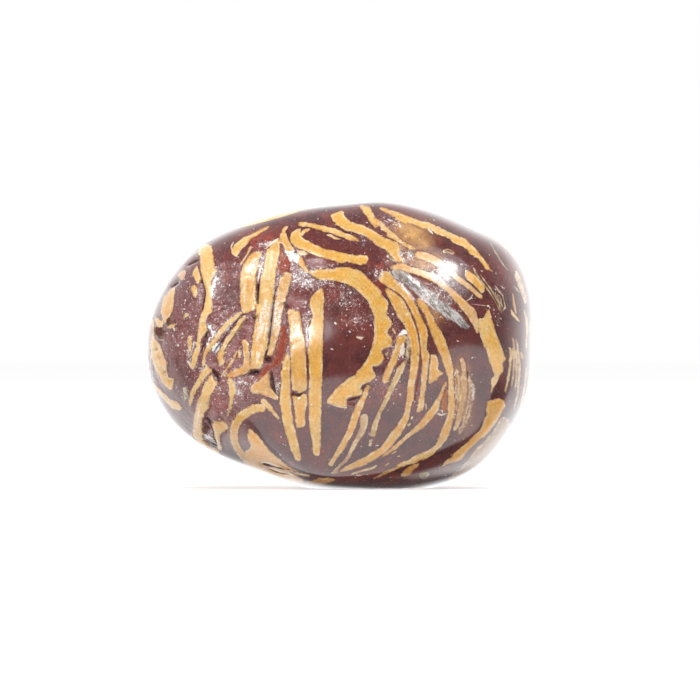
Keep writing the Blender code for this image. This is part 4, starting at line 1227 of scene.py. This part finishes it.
def paintStone(piece):
    mesh = piece.data
    places, normals = readPlaces(mesh), readNormals(mesh)
    count = len(places)
    spots = frontChart(places)
    usable = places[:, 1] < layout["chartEnds"] * mm
    shards = [newLayer(count) for _ in range(layout["shardLayers"])]
    lines = [newLayer(count) for _ in range(layout["lineLayers"])]
    cracks = [newLayer(count) for _ in range(layout["crackLayers"])]
    layFrontMarks(spots, usable, shards, lines)
    print("hidden groups:", hiddenMarks(places, normals, shards))
    for mark in darkLines.values():
        layMark(mark, spots, usable, [], cracks)
    gap, side, along, past = nearestOn(smoothLine(vein["path"], False), spots)
    veined = np.exp(-(gap / halfWidths(vein, along)) ** 2.4) * usable

    zones = zoneStrengths(places, spots, usable)
    pit = pitDepths(spots, usable)
    inward = pit.copy()
    cutCracks(inward, spots, usable)
    outside = steps01(np.minimum.reduce([layer["gap"] for layer in shards]), -0.6, 1.8)
    lumps = steps01(cloud(places, relief["lumpsPerMm"], 6), 0.45, 0.75)
    inward += zones["rough"] * outside * relief["matrixInRough"]
    inward += zones["rough"] ** 1.5 * (0.35 + 0.65 * outside) * lumps * relief["lumpsInRough"]
    inward *= steps01(places[:, 2], 0, relief["flatZone"] * mm)
    writePlaces(mesh, places - normals * inward[:, None] * mm)

    for names, layers in ((("fragments", "fragmentTone"), shards), (("lines", "lineTone"), lines),
                          (("cracks", "crackTone"), cracks)):
        for index, layer in enumerate(layers):
            storeVector(mesh, f"{names[0]}{index}", layer["form"])
            storeColour(mesh, f"{names[1]}{index}", layer["tone"])
    storeVector(mesh, "wear", np.stack([zones["rough"], zones["dustAndSheen"], steps01(pit, 0.02, 0.13)], 1))
    storeVector(mesh, "tint", np.stack([zones["brick"], zones["rust"], zones["ochre"]], 1))
    storeVector(mesh, "ease", np.stack([zones["calm"], outside, veined], 1))


paint = {
    "plum": (0.158, 0.040, 0.036, 1),
    "darkPlum": (0.085, 0.026, 0.027, 1),
    "dusky": (0.120, 0.044, 0.046, 1),
    "brick": (0.36, 0.062, 0.032, 1),
    "rust": (0.29, 0.115, 0.045, 1),
    "ochre": (0.76, 0.42, 0.16, 1),
    "flush": (0.27, 0.060, 0.052, 1),  # the matrix where it isn't polished
    # colour of the dust film; in the glare patches it is painted sheen
    "dustAndSheen": (0.62, 0.42, 0.40, 1),
    "speck": (0.96, 0.90, 0.88, 1),
    "cream": (0.86, 0.66, 0.40, 1),
    "core": (1.04, 0.87, 0.50, 1),  # multiplies a fragment's tone
    "grime": (0.50, 0.22, 0.07, 1),
    "salt": (0.50, 0.23, 0.22, 1),
    "shadow": (0.042, 0.017, 0.014, 1),
    "rim": (0.76, 0.56, 0.40, 1),  # multiplies the tone along a fragment's edge
    "grey": (0.21, 0.20, 0.17, 1),
    "veinDark": (0.19, 0.170, 0.158, 1),
    "veinPale": (0.74, 0.715, 0.68, 1),
    "polished": 0.11,
    "fragmentRoughness": 0.13,
    "unpolished": 0.42,
    "mattRoughness": 0.85,
    "shine": 0.5,
    "mattShine": 0.08,
    "refraction": 1.54,
    "bumpDepth": 0.00003,  # metres
    "veinTurn": -40,  # degrees, the way the vein and its bands run
    "veinStretch": 0.28,
}

grains = {  # noises: waves in a mm, detail, roughness
    "clouds": (0.9, 5, 0.6),
    "patches": (2.6, 5, 0.65),
    "strayBrick": (1.7, 4, 0.6),
    "rust": (3.8, 5, 0.65),
    "ochre": (5.5, 4, 0.7),
    "slow": (1.1, 4, 0.55),
    "middle": (3.2, 5, 0.62),
    "fine": (11.0, 4, 0.7),
    "fibres": (2.2, 4, 0.6),
    "grime": (6.0, 4, 0.6),
    "bands": (2.6, 5, 0.7),
    "wobble": (3.4, 3, 0.55),
    "crumble": (12.0, 2, 0.6),
    "halo": (2.9, 3, 0.55),
    "smear": (1.6, 4, 0.6),
    "veinStreaks": (4.6, 6, 0.75),
    "salt": (10.0, 5, 0.78),
    "film": (5.5, 7, 0.8),
    "clusters": (3.2, 3, 0.6),
    "grit": (14.0, 3, 0.7),
    "gritGaps": (7.0, 2, 0.55),
    "cracks": (4.0, 4, 0.7),
    "films": (8.0, 5, 0.75),
    "pits": (5.0, 5, 0.75),
    "dull": (7.0, 4, 0.7),
    "gloss": (7.0, 3, 0.55),
    "skin": (14.0, 3, 0.6),
    "coarse": (5.2, 4, 0.62),
}


def addNode(tree, kind, inputs=None, **settings):
    node = tree.nodes.new(kind)
    for name, value in settings.items():
        setattr(node, name, value)
    for name, value in (inputs or {}).items():
        if isinstance(value, bpy.types.NodeSocket):
            tree.links.new(value, node.inputs[name])
        else:
            node.inputs[name].default_value = value
    return node


def maths(tree, operation, first, second=0.0, third=0.0):
    inputs = {0: first, 1: second}
    if operation == "MULTIPLY_ADD":
        inputs[2] = third
    return addNode(tree, "ShaderNodeMath", inputs, operation=operation).outputs[0]


def vectors(tree, operation, inputs):
    return addNode(tree, "ShaderNodeVectorMath", inputs, operation=operation).outputs[0]


def remap(tree, value, low, high, toLow=0.0, toHigh=1.0):
    inputs = {"Value": value, "From Min": low, "From Max": high, "To Min": toLow, "To Max": toHigh}
    return addNode(tree, "ShaderNodeMapRange", inputs, interpolation_type="SMOOTHSTEP").outputs["Result"]


def blend(tree, factor, first, second, mode="MIX"):
    node = addNode(tree, "ShaderNodeMix", data_type="RGBA", blend_type=mode)
    for name, value in (("Factor_Float", factor), ("A_Color", first), ("B_Color", second)):
        socket = next(each for each in node.inputs if each.identifier == name)
        if isinstance(value, bpy.types.NodeSocket):
            tree.links.new(value, socket)
        else:
            socket.default_value = value
    return next(each for each in node.outputs if each.identifier == "Result_Color")


def mixed(tree, factor, first, second):
    # first where the factor is 0, second where it is 1
    step = maths(tree, "SUBTRACT", second, first)
    return maths(tree, "MULTIPLY_ADD", step, factor, first)


def grain(tree, place, name):
    scale, detail, roughness = grains[name]
    inputs = {"Vector": place, "Scale": scale, "Detail": detail, "Roughness": roughness}
    return addNode(tree, "ShaderNodeTexNoise", inputs).outputs[0]


def specks(tree, place, scale, size, amount):
    # uneven specks; the amount from 0 to 1 says how many of the cells have one
    cells = addNode(tree, "ShaderNodeTexVoronoi", {"Vector": place, "Scale": scale})
    chance = addNode(tree, "ShaderNodeSeparateColor", {"Color": cells.outputs["Color"]}).outputs
    kept = remap(tree, maths(tree, "ADD", chance[0], amount), 0.97, 1.03)
    own = maths(tree, "MULTIPLY_ADD", chance[1], size, size * 0.35)
    near = remap(tree, maths(tree, "SUBTRACT", cells.outputs["Distance"], own), size * 0.35, -size * 0.35)
    strength = maths(tree, "MULTIPLY_ADD", chance[2], 0.6, 0.4)
    return maths(tree, "MULTIPLY", maths(tree, "MULTIPLY", near, kept), strength)


def readVector(tree, name):
    attribute = addNode(tree, "ShaderNodeAttribute", attribute_name=name)
    return addNode(tree, "ShaderNodeSeparateXYZ", {0: attribute.outputs["Vector"]}).outputs


def readColour(tree, name):
    return addNode(tree, "ShaderNodeAttribute", attribute_name=name).outputs["Color"]


def nearestMark(tree, ragged, layers, raggedLines):
    # the nearest mark of all the layers: its distance in pixels, its tone and its third value
    nearest = tone = third = None
    for form, colour, index in layers:
        first, second, own = readVector(tree, f"{form}{index}")
        if form == "fragments":
            gap = maths(tree, "MULTIPLY_ADD", ragged, second, first)
        else:
            gap = maths(tree, "SUBTRACT", maths(tree, "ABSOLUTE", first), second)
            gap = maths(tree, "MULTIPLY_ADD", ragged, raggedLines, gap)
        ownTone = readColour(tree, f"{colour}{index}")
        if nearest is None:
            nearest, tone, third = gap, ownTone, own
            continue
        closer = maths(tree, "LESS_THAN", gap, nearest)
        tone = blend(tree, closer, tone, ownTone)
        third = mixed(tree, closer, third, own)
        nearest = maths(tree, "MINIMUM", nearest, gap)
    return nearest, tone, third


def matrixColour(tree, place, brick, rust, ochre, calm):
    clouds = grain(tree, place, "clouds")
    patches = grain(tree, place, "patches")
    colour = blend(tree, remap(tree, clouds, 0.38, 0.62), paint["darkPlum"], paint["plum"])
    colour = blend(tree, remap(tree, patches, 0.45, 0.7, 0.0, 0.6), colour, paint["dusky"])
    ruddy = maths(tree, "MULTIPLY", brick, remap(tree, patches, 0.36, 0.6))
    stray = remap(tree, grain(tree, place, "strayBrick"), 0.56, 0.72, 0.0, 0.45)
    stray = maths(tree, "MULTIPLY", stray, remap(tree, calm, 0.2, 0.8, 1.0, 0.25))
    colour = blend(tree, maths(tree, "MAXIMUM", ruddy, stray), colour, paint["brick"])
    rusty = maths(tree, "MULTIPLY", rust, remap(tree, grain(tree, place, "rust"), 0.38, 0.6))
    colour = blend(tree, rusty, colour, paint["rust"])
    yellow = maths(tree, "MULTIPLY", ochre, remap(tree, grain(tree, place, "ochre"), 0.3, 0.55, 0.45, 1.0))
    return blend(tree, yellow, colour, paint["ochre"])


def fragmentColour(tree, place, tone, mottle, depth, streaky):
    slow = grain(tree, place, "slow")
    middle = grain(tree, place, "middle")
    fine = grain(tree, place, "fine")
    core = maths(tree, "MULTIPLY", remap(tree, slow, 0.38, 0.56), remap(tree, depth, 0.8, 3.2, 0.0, 0.95))
    colour = blend(tree, core, tone, paint["core"], "MULTIPLY")
    pale = maths(tree, "MULTIPLY", remap(tree, depth, 3.2, 1.0), remap(tree, middle, 0.42, 0.60, 0.0, 0.65))
    colour = blend(tree, pale, colour, paint["cream"])
    rim = maths(tree, "MULTIPLY", remap(tree, depth, 1.9, 0.2), remap(tree, middle, 0.60, 0.40, 0.2, 0.95))
    colour = blend(tree, rim, colour, paint["rim"], "MULTIPLY")
    # fine fibres that follow the fragment's edge
    fibres = vectors(tree, "SCALE", {0: place, "Scale": 0.45})
    across = addNode(tree, "ShaderNodeCombineXYZ", {"X": maths(tree, "MULTIPLY", depth, 0.55)}).outputs[0]
    fibres = vectors(tree, "ADD", {0: fibres, 1: across})
    light = remap(tree, grain(tree, fibres, "fibres"), 0.3, 0.7, 0.90, 1.09)
    light = maths(tree, "MULTIPLY", light, remap(tree, middle, 0.3, 0.7, 0.94, 1.06))
    light = maths(tree, "MULTIPLY", light, remap(tree, fine, 0.32, 0.68, 0.94, 1.06))
    colour = vectors(tree, "SCALE", {0: colour, "Scale": light})
    sandy = maths(tree, "MULTIPLY", remap(tree, fine, 0.54, 0.66), 0.30)
    colour = blend(tree, sandy, colour, paint["cream"])
    warm = maths(tree, "MULTIPLY", remap(tree, fine, 0.46, 0.36), 0.22)
    colour = blend(tree, warm, colour, paint["grime"])
    rusty = maths(tree, "MULTIPLY", remap(tree, grain(tree, place, "grime"), 0.60, 0.72), 0.40)
    colour = blend(tree, rusty, colour, paint["grime"])
    bands = grain(tree, streaky, "bands")
    dark = maths(tree, "MULTIPLY", mottle, remap(tree, bands, 0.46, 0.60, 0.0, 0.8))
    colour = blend(tree, dark, colour, paint["grey"])
    bright = maths(tree, "MULTIPLY", mottle, remap(tree, bands, 0.44, 0.34, 0.0, 0.7))
    colour = blend(tree, bright, colour, paint["speck"])
    pure = maths(tree, "MAXIMUM", remap(tree, mottle, 1.2, 1.8), remap(tree, mottle, -0.2, -0.8, 0.0, 0.7))
    return blend(tree, pure, colour, tone)


def quartzOver(tree, matrix, streaky, veined):
    smear = grain(tree, streaky, "smear")
    veinShade = remap(tree, maths(tree, "MULTIPLY_ADD", grain(tree, streaky, "veinStreaks"), 0.65,
                                  maths(tree, "MULTIPLY", smear, 0.35)), 0.43, 0.55)
    veinColour = blend(tree, veinShade, paint["veinDark"], paint["veinPale"])
    ragged = maths(tree, "MULTIPLY_ADD", grain(tree, streaky, "bands"), 1.7, -0.8)
    veined = maths(tree, "ADD", veined, ragged)
    return blend(tree, remap(tree, veined, 0.42, 0.85, 0.0, 0.92), matrix, veinColour)


def whiteSpecksAndSparkle(tree, place, nearest, rough, dustAndSheen, busy, bare, colour):
    # salt, dust and white grit over the colour, with painted sparkle: the grit in the dusty patches and along
    # the fragments' edges stands in for a light's glare; also gives the mask of the white specks
    salty = maths(tree, "MULTIPLY_ADD", rough, 0.34, maths(tree, "MULTIPLY_ADD", busy, 0.20, 0.04))
    salt = remap(tree, grain(tree, place, "salt"), 0.50, 0.66)
    salt = maths(tree, "MULTIPLY", maths(tree, "MULTIPLY", salt, salty), bare)
    colour = blend(tree, salt, colour, paint["salt"])
    bend = {"Vector": place, "Scale": 9.0, "Detail": 2.0}
    bent = addNode(tree, "ShaderNodeTexNoise", bend).outputs["Color"]
    bent = vectors(tree, "MULTIPLY_ADD", {0: bent, 1: (0.16,) * 3, 2: place})
    many = maths(tree, "MULTIPLY_ADD", rough, 0.07, maths(tree, "MULTIPLY", busy, 0.05))
    many = maths(tree, "MULTIPLY", maths(tree, "MULTIPLY_ADD", dustAndSheen, 0.42, many), bare)
    small = specks(tree, bent, 9.0, 0.24, many)
    large = specks(tree, bent, 4.2, 0.17, maths(tree, "MULTIPLY", dustAndSheen, maths(tree, "MULTIPLY", bare, 0.40)))
    film = remap(tree, grain(tree, place, "film"), 0.46, 0.60)
    film = maths(tree, "MULTIPLY", film, maths(tree, "MULTIPLY", dustAndSheen, maths(tree, "MULTIPLY", bare, 0.4)))
    colour = blend(tree, film, colour, paint["dustAndSheen"])
    clusters = remap(tree, grain(tree, place, "clusters"), 0.38, 0.62, 0.25, 1.0)
    # painted glints: white grit along the fragments' edges in rough areas
    edgeGlint = remap(tree, maths(tree, "ABSOLUTE", maths(tree, "SUBTRACT", nearest, 0.3)), 2.0, 0.3)
    cover = maths(tree, "MULTIPLY", dustAndSheen, clusters)
    cover = maths(tree, "MULTIPLY", cover, maths(tree, "MULTIPLY", bare, 0.27))
    cover = maths(tree, "MULTIPLY_ADD", maths(tree, "MULTIPLY", edgeGlint, rough), 0.034, cover)
    cover = maths(tree, "MULTIPLY_ADD", maths(tree, "MULTIPLY", rough, bare), 0.033, cover)
    grit = maths(tree, "ADD", grain(tree, bent, "grit"), cover)
    grit = maths(tree, "MULTIPLY", remap(tree, grit, 0.655, 0.715), remap(tree, cover, 0.0, 0.02))
    grit = maths(tree, "MULTIPLY", grit, remap(tree, grain(tree, place, "gritGaps"), 0.40, 0.58, 0.35, 1.0))
    white = maths(tree, "MAXIMUM", maths(tree, "MAXIMUM", small, large), grit)
    return blend(tree, white, colour, paint["speck"]), white


def jasperMaterial():
    material = bpy.data.materials.new("polishedJasper")
    material.use_nodes = True
    tree = material.node_tree
    shader = tree.nodes["Principled BSDF"]
    shader.inputs["IOR"].default_value = paint["refraction"]
    where = addNode(tree, "ShaderNodeTexCoord").outputs["Object"]
    place = vectors(tree, "MULTIPLY", {0: where, 1: (1 / mm,) * 3})
    rough, dustAndSheen, pit = readVector(tree, "wear")
    brick, rust, ochre = readVector(tree, "tint")
    calm, outside, veined = readVector(tree, "ease")

    wobble = remap(tree, grain(tree, place, "wobble"), 0.2, 0.8, -0.75, 0.75)  # pixels
    crumble = remap(tree, grain(tree, place, "crumble"), 0.2, 0.8, -0.45, 0.45)
    ragged = maths(tree, "ADD", wobble, crumble)
    ragged = maths(tree, "MULTIPLY", ragged, remap(tree, rough, 0.1, 0.9, 0.8, 1.5))

    layers = [("fragments", "fragmentTone", index) for index in range(layout["shardLayers"])]
    layers += [("lines", "lineTone", index) for index in range(layout["lineLayers"])]
    nearest, tone, mottle = nearestMark(tree, ragged, layers, 0.45)
    inside = remap(tree, nearest, 0.35, -0.35)
    depth = maths(tree, "MULTIPLY", nearest, -1.0)
    matrix = matrixColour(tree, place, brick, rust, ochre, calm)
    matrix = blend(tree, maths(tree, "MULTIPLY", rough, 0.75), matrix, paint["flush"])
    halo = remap(tree, nearest, 1.9, 0.5, 0.0, 0.55)
    halo = maths(tree, "MULTIPLY", halo, remap(tree, grain(tree, place, "halo"), 0.4, 0.6, 0.15, 1.0))
    matrix = blend(tree, halo, matrix, paint["darkPlum"])
    turn = (0, math.radians(paint["veinTurn"]), 0)
    streaky = addNode(tree, "ShaderNodeMapping", {"Vector": place, "Rotation": turn,
                                                  "Scale": (paint["veinStretch"], 1.0, 1.0)},
                      vector_type="TEXTURE").outputs[0]
    fragment = fragmentColour(tree, place, tone, mottle, depth, streaky)
    matrix = quartzOver(tree, matrix, streaky, veined)
    colour = blend(tree, inside, matrix, fragment)
    busy = maths(tree, "SUBTRACT", 1.0, calm)
    bare = maths(tree, "SUBTRACT", 1.0, maths(tree, "MULTIPLY", inside, 0.5))
    colour, white = whiteSpecksAndSparkle(tree, place, nearest, rough, dustAndSheen, busy, bare, colour)

    layers = [("cracks", "crackTone", index) for index in range(layout["crackLayers"])]
    crackGap, crackTone, soft = nearestMark(tree, ragged, layers, 0.5)
    crack = mixed(tree, soft, remap(tree, crackGap, 0.5, -0.5), remap(tree, crackGap, 1.4, -1.0))
    # soft marks get a granular film instead of broken edges; for the sheens this is the grain of the painted
    # highlight
    broken = remap(tree, grain(tree, place, "cracks"), 0.36, 0.56, 0.25, 0.9)
    broken = mixed(tree, soft, broken, remap(tree, grain(tree, place, "films"), 0.43, 0.57, 0.08, 0.95))
    colour = blend(tree, maths(tree, "MULTIPLY", crack, broken), colour, crackTone)
    crack = maths(tree, "MULTIPLY", crack, maths(tree, "SUBTRACT", 1.0, soft))
    hollow = maths(tree, "MULTIPLY", pit, remap(tree, grain(tree, place, "pits"), 0.36, 0.60, 0.2, 1.0))
    colour = blend(tree, maths(tree, "MULTIPLY", hollow, 0.75), colour, paint["shadow"])
    tree.links.new(colour, shader.inputs["Base Color"])

    finish = mixed(tree, inside, paint["polished"], paint["fragmentRoughness"])
    dull = maths(tree, "MULTIPLY", rough, remap(tree, grain(tree, place, "dull"), 0.36, 0.60, 0.15, 1.0))
    dull = maths(tree, "MAXIMUM", dull, maths(tree, "MAXIMUM", pit, crack))
    finish = mixed(tree, dull, finish, paint["unpolished"])
    finish = maths(tree, "MULTIPLY", finish, remap(tree, grain(tree, place, "gloss"), 0.3, 0.7, 0.8, 1.25))
    lost = maths(tree, "MULTIPLY", inside, remap(tree, mottle, -0.2, -0.8))
    chipped = maths(tree, "MULTIPLY", crack, broken)
    lost = maths(tree, "MAXIMUM", lost, maths(tree, "MAXIMUM", chipped, hollow))
    tree.links.new(mixed(tree, lost, finish, paint["mattRoughness"]), shader.inputs["Roughness"])
    tree.links.new(mixed(tree, lost, paint["shine"], paint["mattShine"]), shader.inputs["Specular IOR Level"])

    step = maths(tree, "MULTIPLY", inside, maths(tree, "MULTIPLY_ADD", rough, 1.3, 0.06))
    height = maths(tree, "MULTIPLY_ADD", grain(tree, place, "skin"), 0.035, step)
    uneven = maths(tree, "MULTIPLY", rough, maths(tree, "MULTIPLY_ADD", inside, -0.9, 1.5))
    coarse = maths(tree, "MULTIPLY", grain(tree, place, "coarse"), uneven)
    height = maths(tree, "ADD", height, coarse)
    height = maths(tree, "MULTIPLY_ADD", white, 0.25, height)
    height = maths(tree, "MULTIPLY_ADD", crack, -1.2, height)
    bump = addNode(tree, "ShaderNodeBump", {"Height": height, "Distance": paint["bumpDepth"]})
    tree.links.new(bump.outputs["Normal"], shader.inputs["Normal"])
    return material


lights = {
    # turn is degrees to the right of the camera; sizes in mm; glow as it looks in a mirror
    "key": {"turn": 32.6, "rise": 31.4, "away": 250, "wide": 19, "high": 56, "lean": -33, "glow": 60,
            "shape": "ELLIPSE", "use": "polish"},
    "keySoft": {"turn": 32.2, "rise": 30.4, "away": 250, "wide": 38, "high": 84, "lean": -30, "glow": 8,
                "shape": "ELLIPSE", "use": "polish"},
    "keyHalo": {"turn": 32.6, "rise": 31.4, "away": 250, "wide": 105, "high": 160, "lean": -26, "glow": 3.0,
                "shape": "ELLIPSE", "use": "polish"},
    "leftLow": {"turn": -14, "rise": 6.5, "away": 250, "wide": 42, "high": 27, "lean": 0, "glow": 52,
                "shape": "ELLIPSE", "use": "polish"},
    "leftLowSoft": {"turn": -13, "rise": 6.5, "away": 250, "wide": 84, "high": 54, "lean": 0, "glow": 5,
                    "shape": "ELLIPSE", "use": "polish"},
    "leftMiddle": {"turn": -22, "rise": 38, "away": 250, "wide": 60, "high": 50, "lean": 0, "glow": 16,
                   "shape": "ELLIPSE", "use": "polish"},
    "leftHigh": {"turn": -45, "rise": 36, "away": 250, "wide": 48, "high": 36, "lean": 0, "glow": 42,
                 "shape": "ELLIPSE", "use": "polish"},
    "leftStreak": {"turn": -44, "rise": 17, "away": 250, "wide": 110, "high": 40, "lean": 0, "glow": 2.2,
                   "shape": "ELLIPSE", "use": "polish"},
    "farLeft": {"turn": -71, "rise": 28, "away": 250, "wide": 36, "high": 50, "lean": 0, "glow": 18,
                "shape": "ELLIPSE", "use": "polish"},
    "top": {"turn": 8, "rise": 74, "away": 450, "wide": 420, "high": 420, "lean": 0, "glow": 2.65,
            "shape": "RECTANGLE", "use": "shade"},
    "fill": {"turn": 28, "rise": 38, "away": 450, "wide": 240, "high": 240, "lean": 0, "glow": 2.4,
             "shape": "RECTANGLE", "use": "shade"},
    "lowLeft": {"turn": -60, "rise": 12, "away": 420, "wide": 240, "high": 150, "lean": 0, "glow": 4.8,
                "shape": "RECTANGLE", "use": "shade"},
}

room = {
    "forCamera": 1.0,
    "behind": 1.9,  # as it shows in the polish
    "toRight": 0.42,  # how much brighter it is on the right
    "inFront": 0.10,
    "above": 0.55,  # part of that left over straight above
    "below": 0.12,
    "belowLeft": 1.0,
    "belowBehind": 1.3,  # on the right
    "forShade": 0.44,
    "cardGlow": 2.6,
    "floorGlow": 0.60,
    "floorForShade": 0.46,
    "floorGlowForShade": 0.15,
}

floorSize = 6.0  # metres
floorDepth = 0.02  # mm below the stone, so that the two faces don't share a plane
cardDepth = 0.01
lightMiddle = 5.5  # mm above the floor, where all lights aim

lens = {
    "sensor": 36.0,  # mm
    "near": 0.01,  # metres
    "far": 20.0,
}

# The light card lies on the floor and is only seen in the polish; mm from the stone's middle
lightCard = {
    "left": [(-22.7, -15.4)],
    "near": [(-18.7, -27.0), (-10.1, -25.2), (-5.0, -24.4), (0.4, -22.8), (4.2, -22.8), (8.5, -21.9),
             (12.3, -24.0), (16.5, -28.0), (22.5, -33.8)],
    "right": [(26.2, -31.9), (27.8, -23.5), (29.3, -15.8), (29.8, -10.0), (29.7, -5.8)],
    "farRight": [(19.7, -6.5), (13.3, -6.2), (9.9, -5.0), (8.8, -3.9), (7.7, -3.6)],
    "farMiddle": [(5.5, -4.3), (4.0, -4.5), (1.9, -4.2), (0.2, -4.1), (-1.2, -3.9), (-2.5, -3.4)],
    "farLeft": [(-4.0, -4.0), (-4.9, -5.2), (-5.5, -5.9), (-7.7, -6.2), (-12.4, -4.4)],
}


def makeFloor():
    # white for the camera; less bright where the stone is lit by it
    deselectAll()
    bpy.ops.mesh.primitive_plane_add(size=floorSize, location=(0, 0, -floorDepth * mm))
    floor = bpy.context.object
    floor.name = "floor"
    floor.visible_glossy = False
    material = bpy.data.materials.new("paleFloor")
    material.use_nodes = True
    tree = material.node_tree
    tree.nodes.clear()
    path = addNode(tree, "ShaderNodeLightPath")
    white = addNode(tree, "ShaderNodeBsdfDiffuse", {"Color": (0.85, 0.85, 0.85, 1)})
    glow = addNode(tree, "ShaderNodeEmission", {"Strength": room["floorGlow"]})
    lit = addNode(tree, "ShaderNodeAddShader", {0: white.outputs[0], 1: glow.outputs[0]})
    dim = addNode(tree, "ShaderNodeBsdfDiffuse", {"Color": (room["floorForShade"],) * 3 + (1,)})
    faint = addNode(tree, "ShaderNodeEmission", {"Strength": room["floorGlowForShade"]})
    dimLit = addNode(tree, "ShaderNodeAddShader", {0: dim.outputs[0], 1: faint.outputs[0]})
    forCamera = path.outputs["Is Camera Ray"]
    seen = addNode(tree, "ShaderNodeMixShader", {0: forCamera, 1: dimLit.outputs[0], 2: lit.outputs[0]})
    addNode(tree, "ShaderNodeOutputMaterial", {"Surface": seen.outputs[0]})
    floor.data.materials.append(material)


def makeCard():
    deselectAll()
    corners = [(across * mm, away * mm, -cardDepth * mm)
               for side in lightCard.values() for across, away in side]
    bpy.ops.mesh.primitive_circle_add(vertices=len(corners), radius=0.01, fill_type="NGON")
    card = bpy.context.object
    card.name = "lightCard"
    turnedUp = card.data.polygons[0].normal.z > 0
    writePlaces(card.data, np.array(corners if turnedUp else corners[::-1]))
    card.visible_camera = False
    card.visible_diffuse = False
    card.visible_shadow = False
    material = bpy.data.materials.new("cardGlow")
    material.use_nodes = True
    tree = material.node_tree
    tree.nodes.clear()
    glow = addNode(tree, "ShaderNodeEmission", {"Strength": room["cardGlow"]})
    addNode(tree, "ShaderNodeOutputMaterial", {"Surface": glow.outputs[0]})
    card.data.materials.append(material)


def softbox(name, turn, rise, away, wide, high, lean, glow, shape, use):
    # one used for the polish only shows as a reflection, and one used for the shade never does
    middle = Vector((0, 0, lightMiddle * mm))
    turn, rise = math.radians(turn), math.radians(rise)
    direction = Vector((math.sin(turn) * math.cos(rise), -math.cos(turn) * math.cos(rise), math.sin(rise)))
    area = wide * high * mm * mm * (math.pi / 4 if shape == "ELLIPSE" else 1)
    data = bpy.data.lights.new(name, "AREA")
    data.shape = shape
    data.size = wide * mm
    data.size_y = high * mm
    data.energy = glow * math.pi * area
    light = bpy.data.objects.new(name, data)
    light.location = middle + direction * away * mm
    aim = direction.to_track_quat("Z", "Y").to_matrix().to_4x4()
    light.rotation_euler = (aim @ Matrix.Rotation(math.radians(lean), 4, "Z")).to_euler()
    light.visible_glossy = use == "polish"
    light.visible_diffuse = use == "shade"
    bpy.context.scene.collection.objects.link(light)


def makeRoom():
    world = bpy.data.worlds.new("whiteRoom")
    world.use_nodes = True
    tree = world.node_tree
    tree.nodes.clear()
    path = addNode(tree, "ShaderNodeLightPath")
    direction = addNode(tree, "ShaderNodeTexCoord")
    axes = addNode(tree, "ShaderNodeSeparateXYZ", {"Vector": direction.outputs["Generated"]})
    behind = remap(tree, axes.outputs["Y"], -0.6, 0.5, room["inFront"], room["behind"])
    high = remap(tree, axes.outputs["Z"], 0.15, 0.8, 1.0, room["above"])
    below = remap(tree, axes.outputs["X"], -0.14, -0.45, room["below"], room["belowLeft"])
    rightBehind = maths(tree, "MULTIPLY", remap(tree, axes.outputs["Y"], 0.2, 0.42),
                        remap(tree, axes.outputs["X"], 0.2, 0.4))
    below = mixed(tree, rightBehind, below, room["belowBehind"])
    low = mixed(tree, remap(tree, axes.outputs["Z"], -0.15, -0.55), 1.0, below)
    behind = maths(tree, "MULTIPLY", behind, maths(tree, "MULTIPLY", high, low))
    rightward = maths(tree, "MULTIPLY_ADD", axes.outputs["X"], room["toRight"], 1.0)
    behind = maths(tree, "MULTIPLY", behind, rightward)
    shade = mixed(tree, path.outputs["Is Glossy Ray"], room["forShade"], behind)
    seen = mixed(tree, path.outputs["Is Camera Ray"], shade, room["forCamera"])
    background = addNode(tree, "ShaderNodeBackground", {"Strength": seen})
    background.inputs["Color"].default_value = (1, 1, 1, 1)
    addNode(tree, "ShaderNodeOutputWorld", {"Surface": background.outputs["Background"]})
    bpy.context.scene.world = world


def makeCamera():
    data = bpy.data.cameras.new("photoCamera")
    away = photo["cameraAway"]
    frameWidth = photo["width"] * photo["mmPerPixel"]
    data.sensor_width = lens["sensor"]
    data.lens = data.sensor_width * away / frameWidth
    data.clip_start = lens["near"]
    data.clip_end = lens["far"]
    camera = bpy.data.objects.new("photoCamera", data)
    across, up = cameraOffset()
    camera.location = (across * mm, -away * mm, up * mm)
    camera.rotation_euler = (math.pi / 2, 0, 0)
    bpy.context.scene.collection.objects.link(camera)
    bpy.context.scene.camera = camera


stone = makeSkin()  # the whole jasper as one skin
print("skin done:", len(stone.data.polygons) * 2, "triangles")
paintStone(stone)
stone.data.materials.append(jasperMaterial())
print("stone done")
makeFloor()
makeCard()
for name, settings in lights.items():
    softbox(name, **settings)
makeRoom()
makeCamera()
bpy.context.scene.view_settings.view_transform = "Standard"
print("stage done")

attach(stone, "root")
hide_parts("stone")
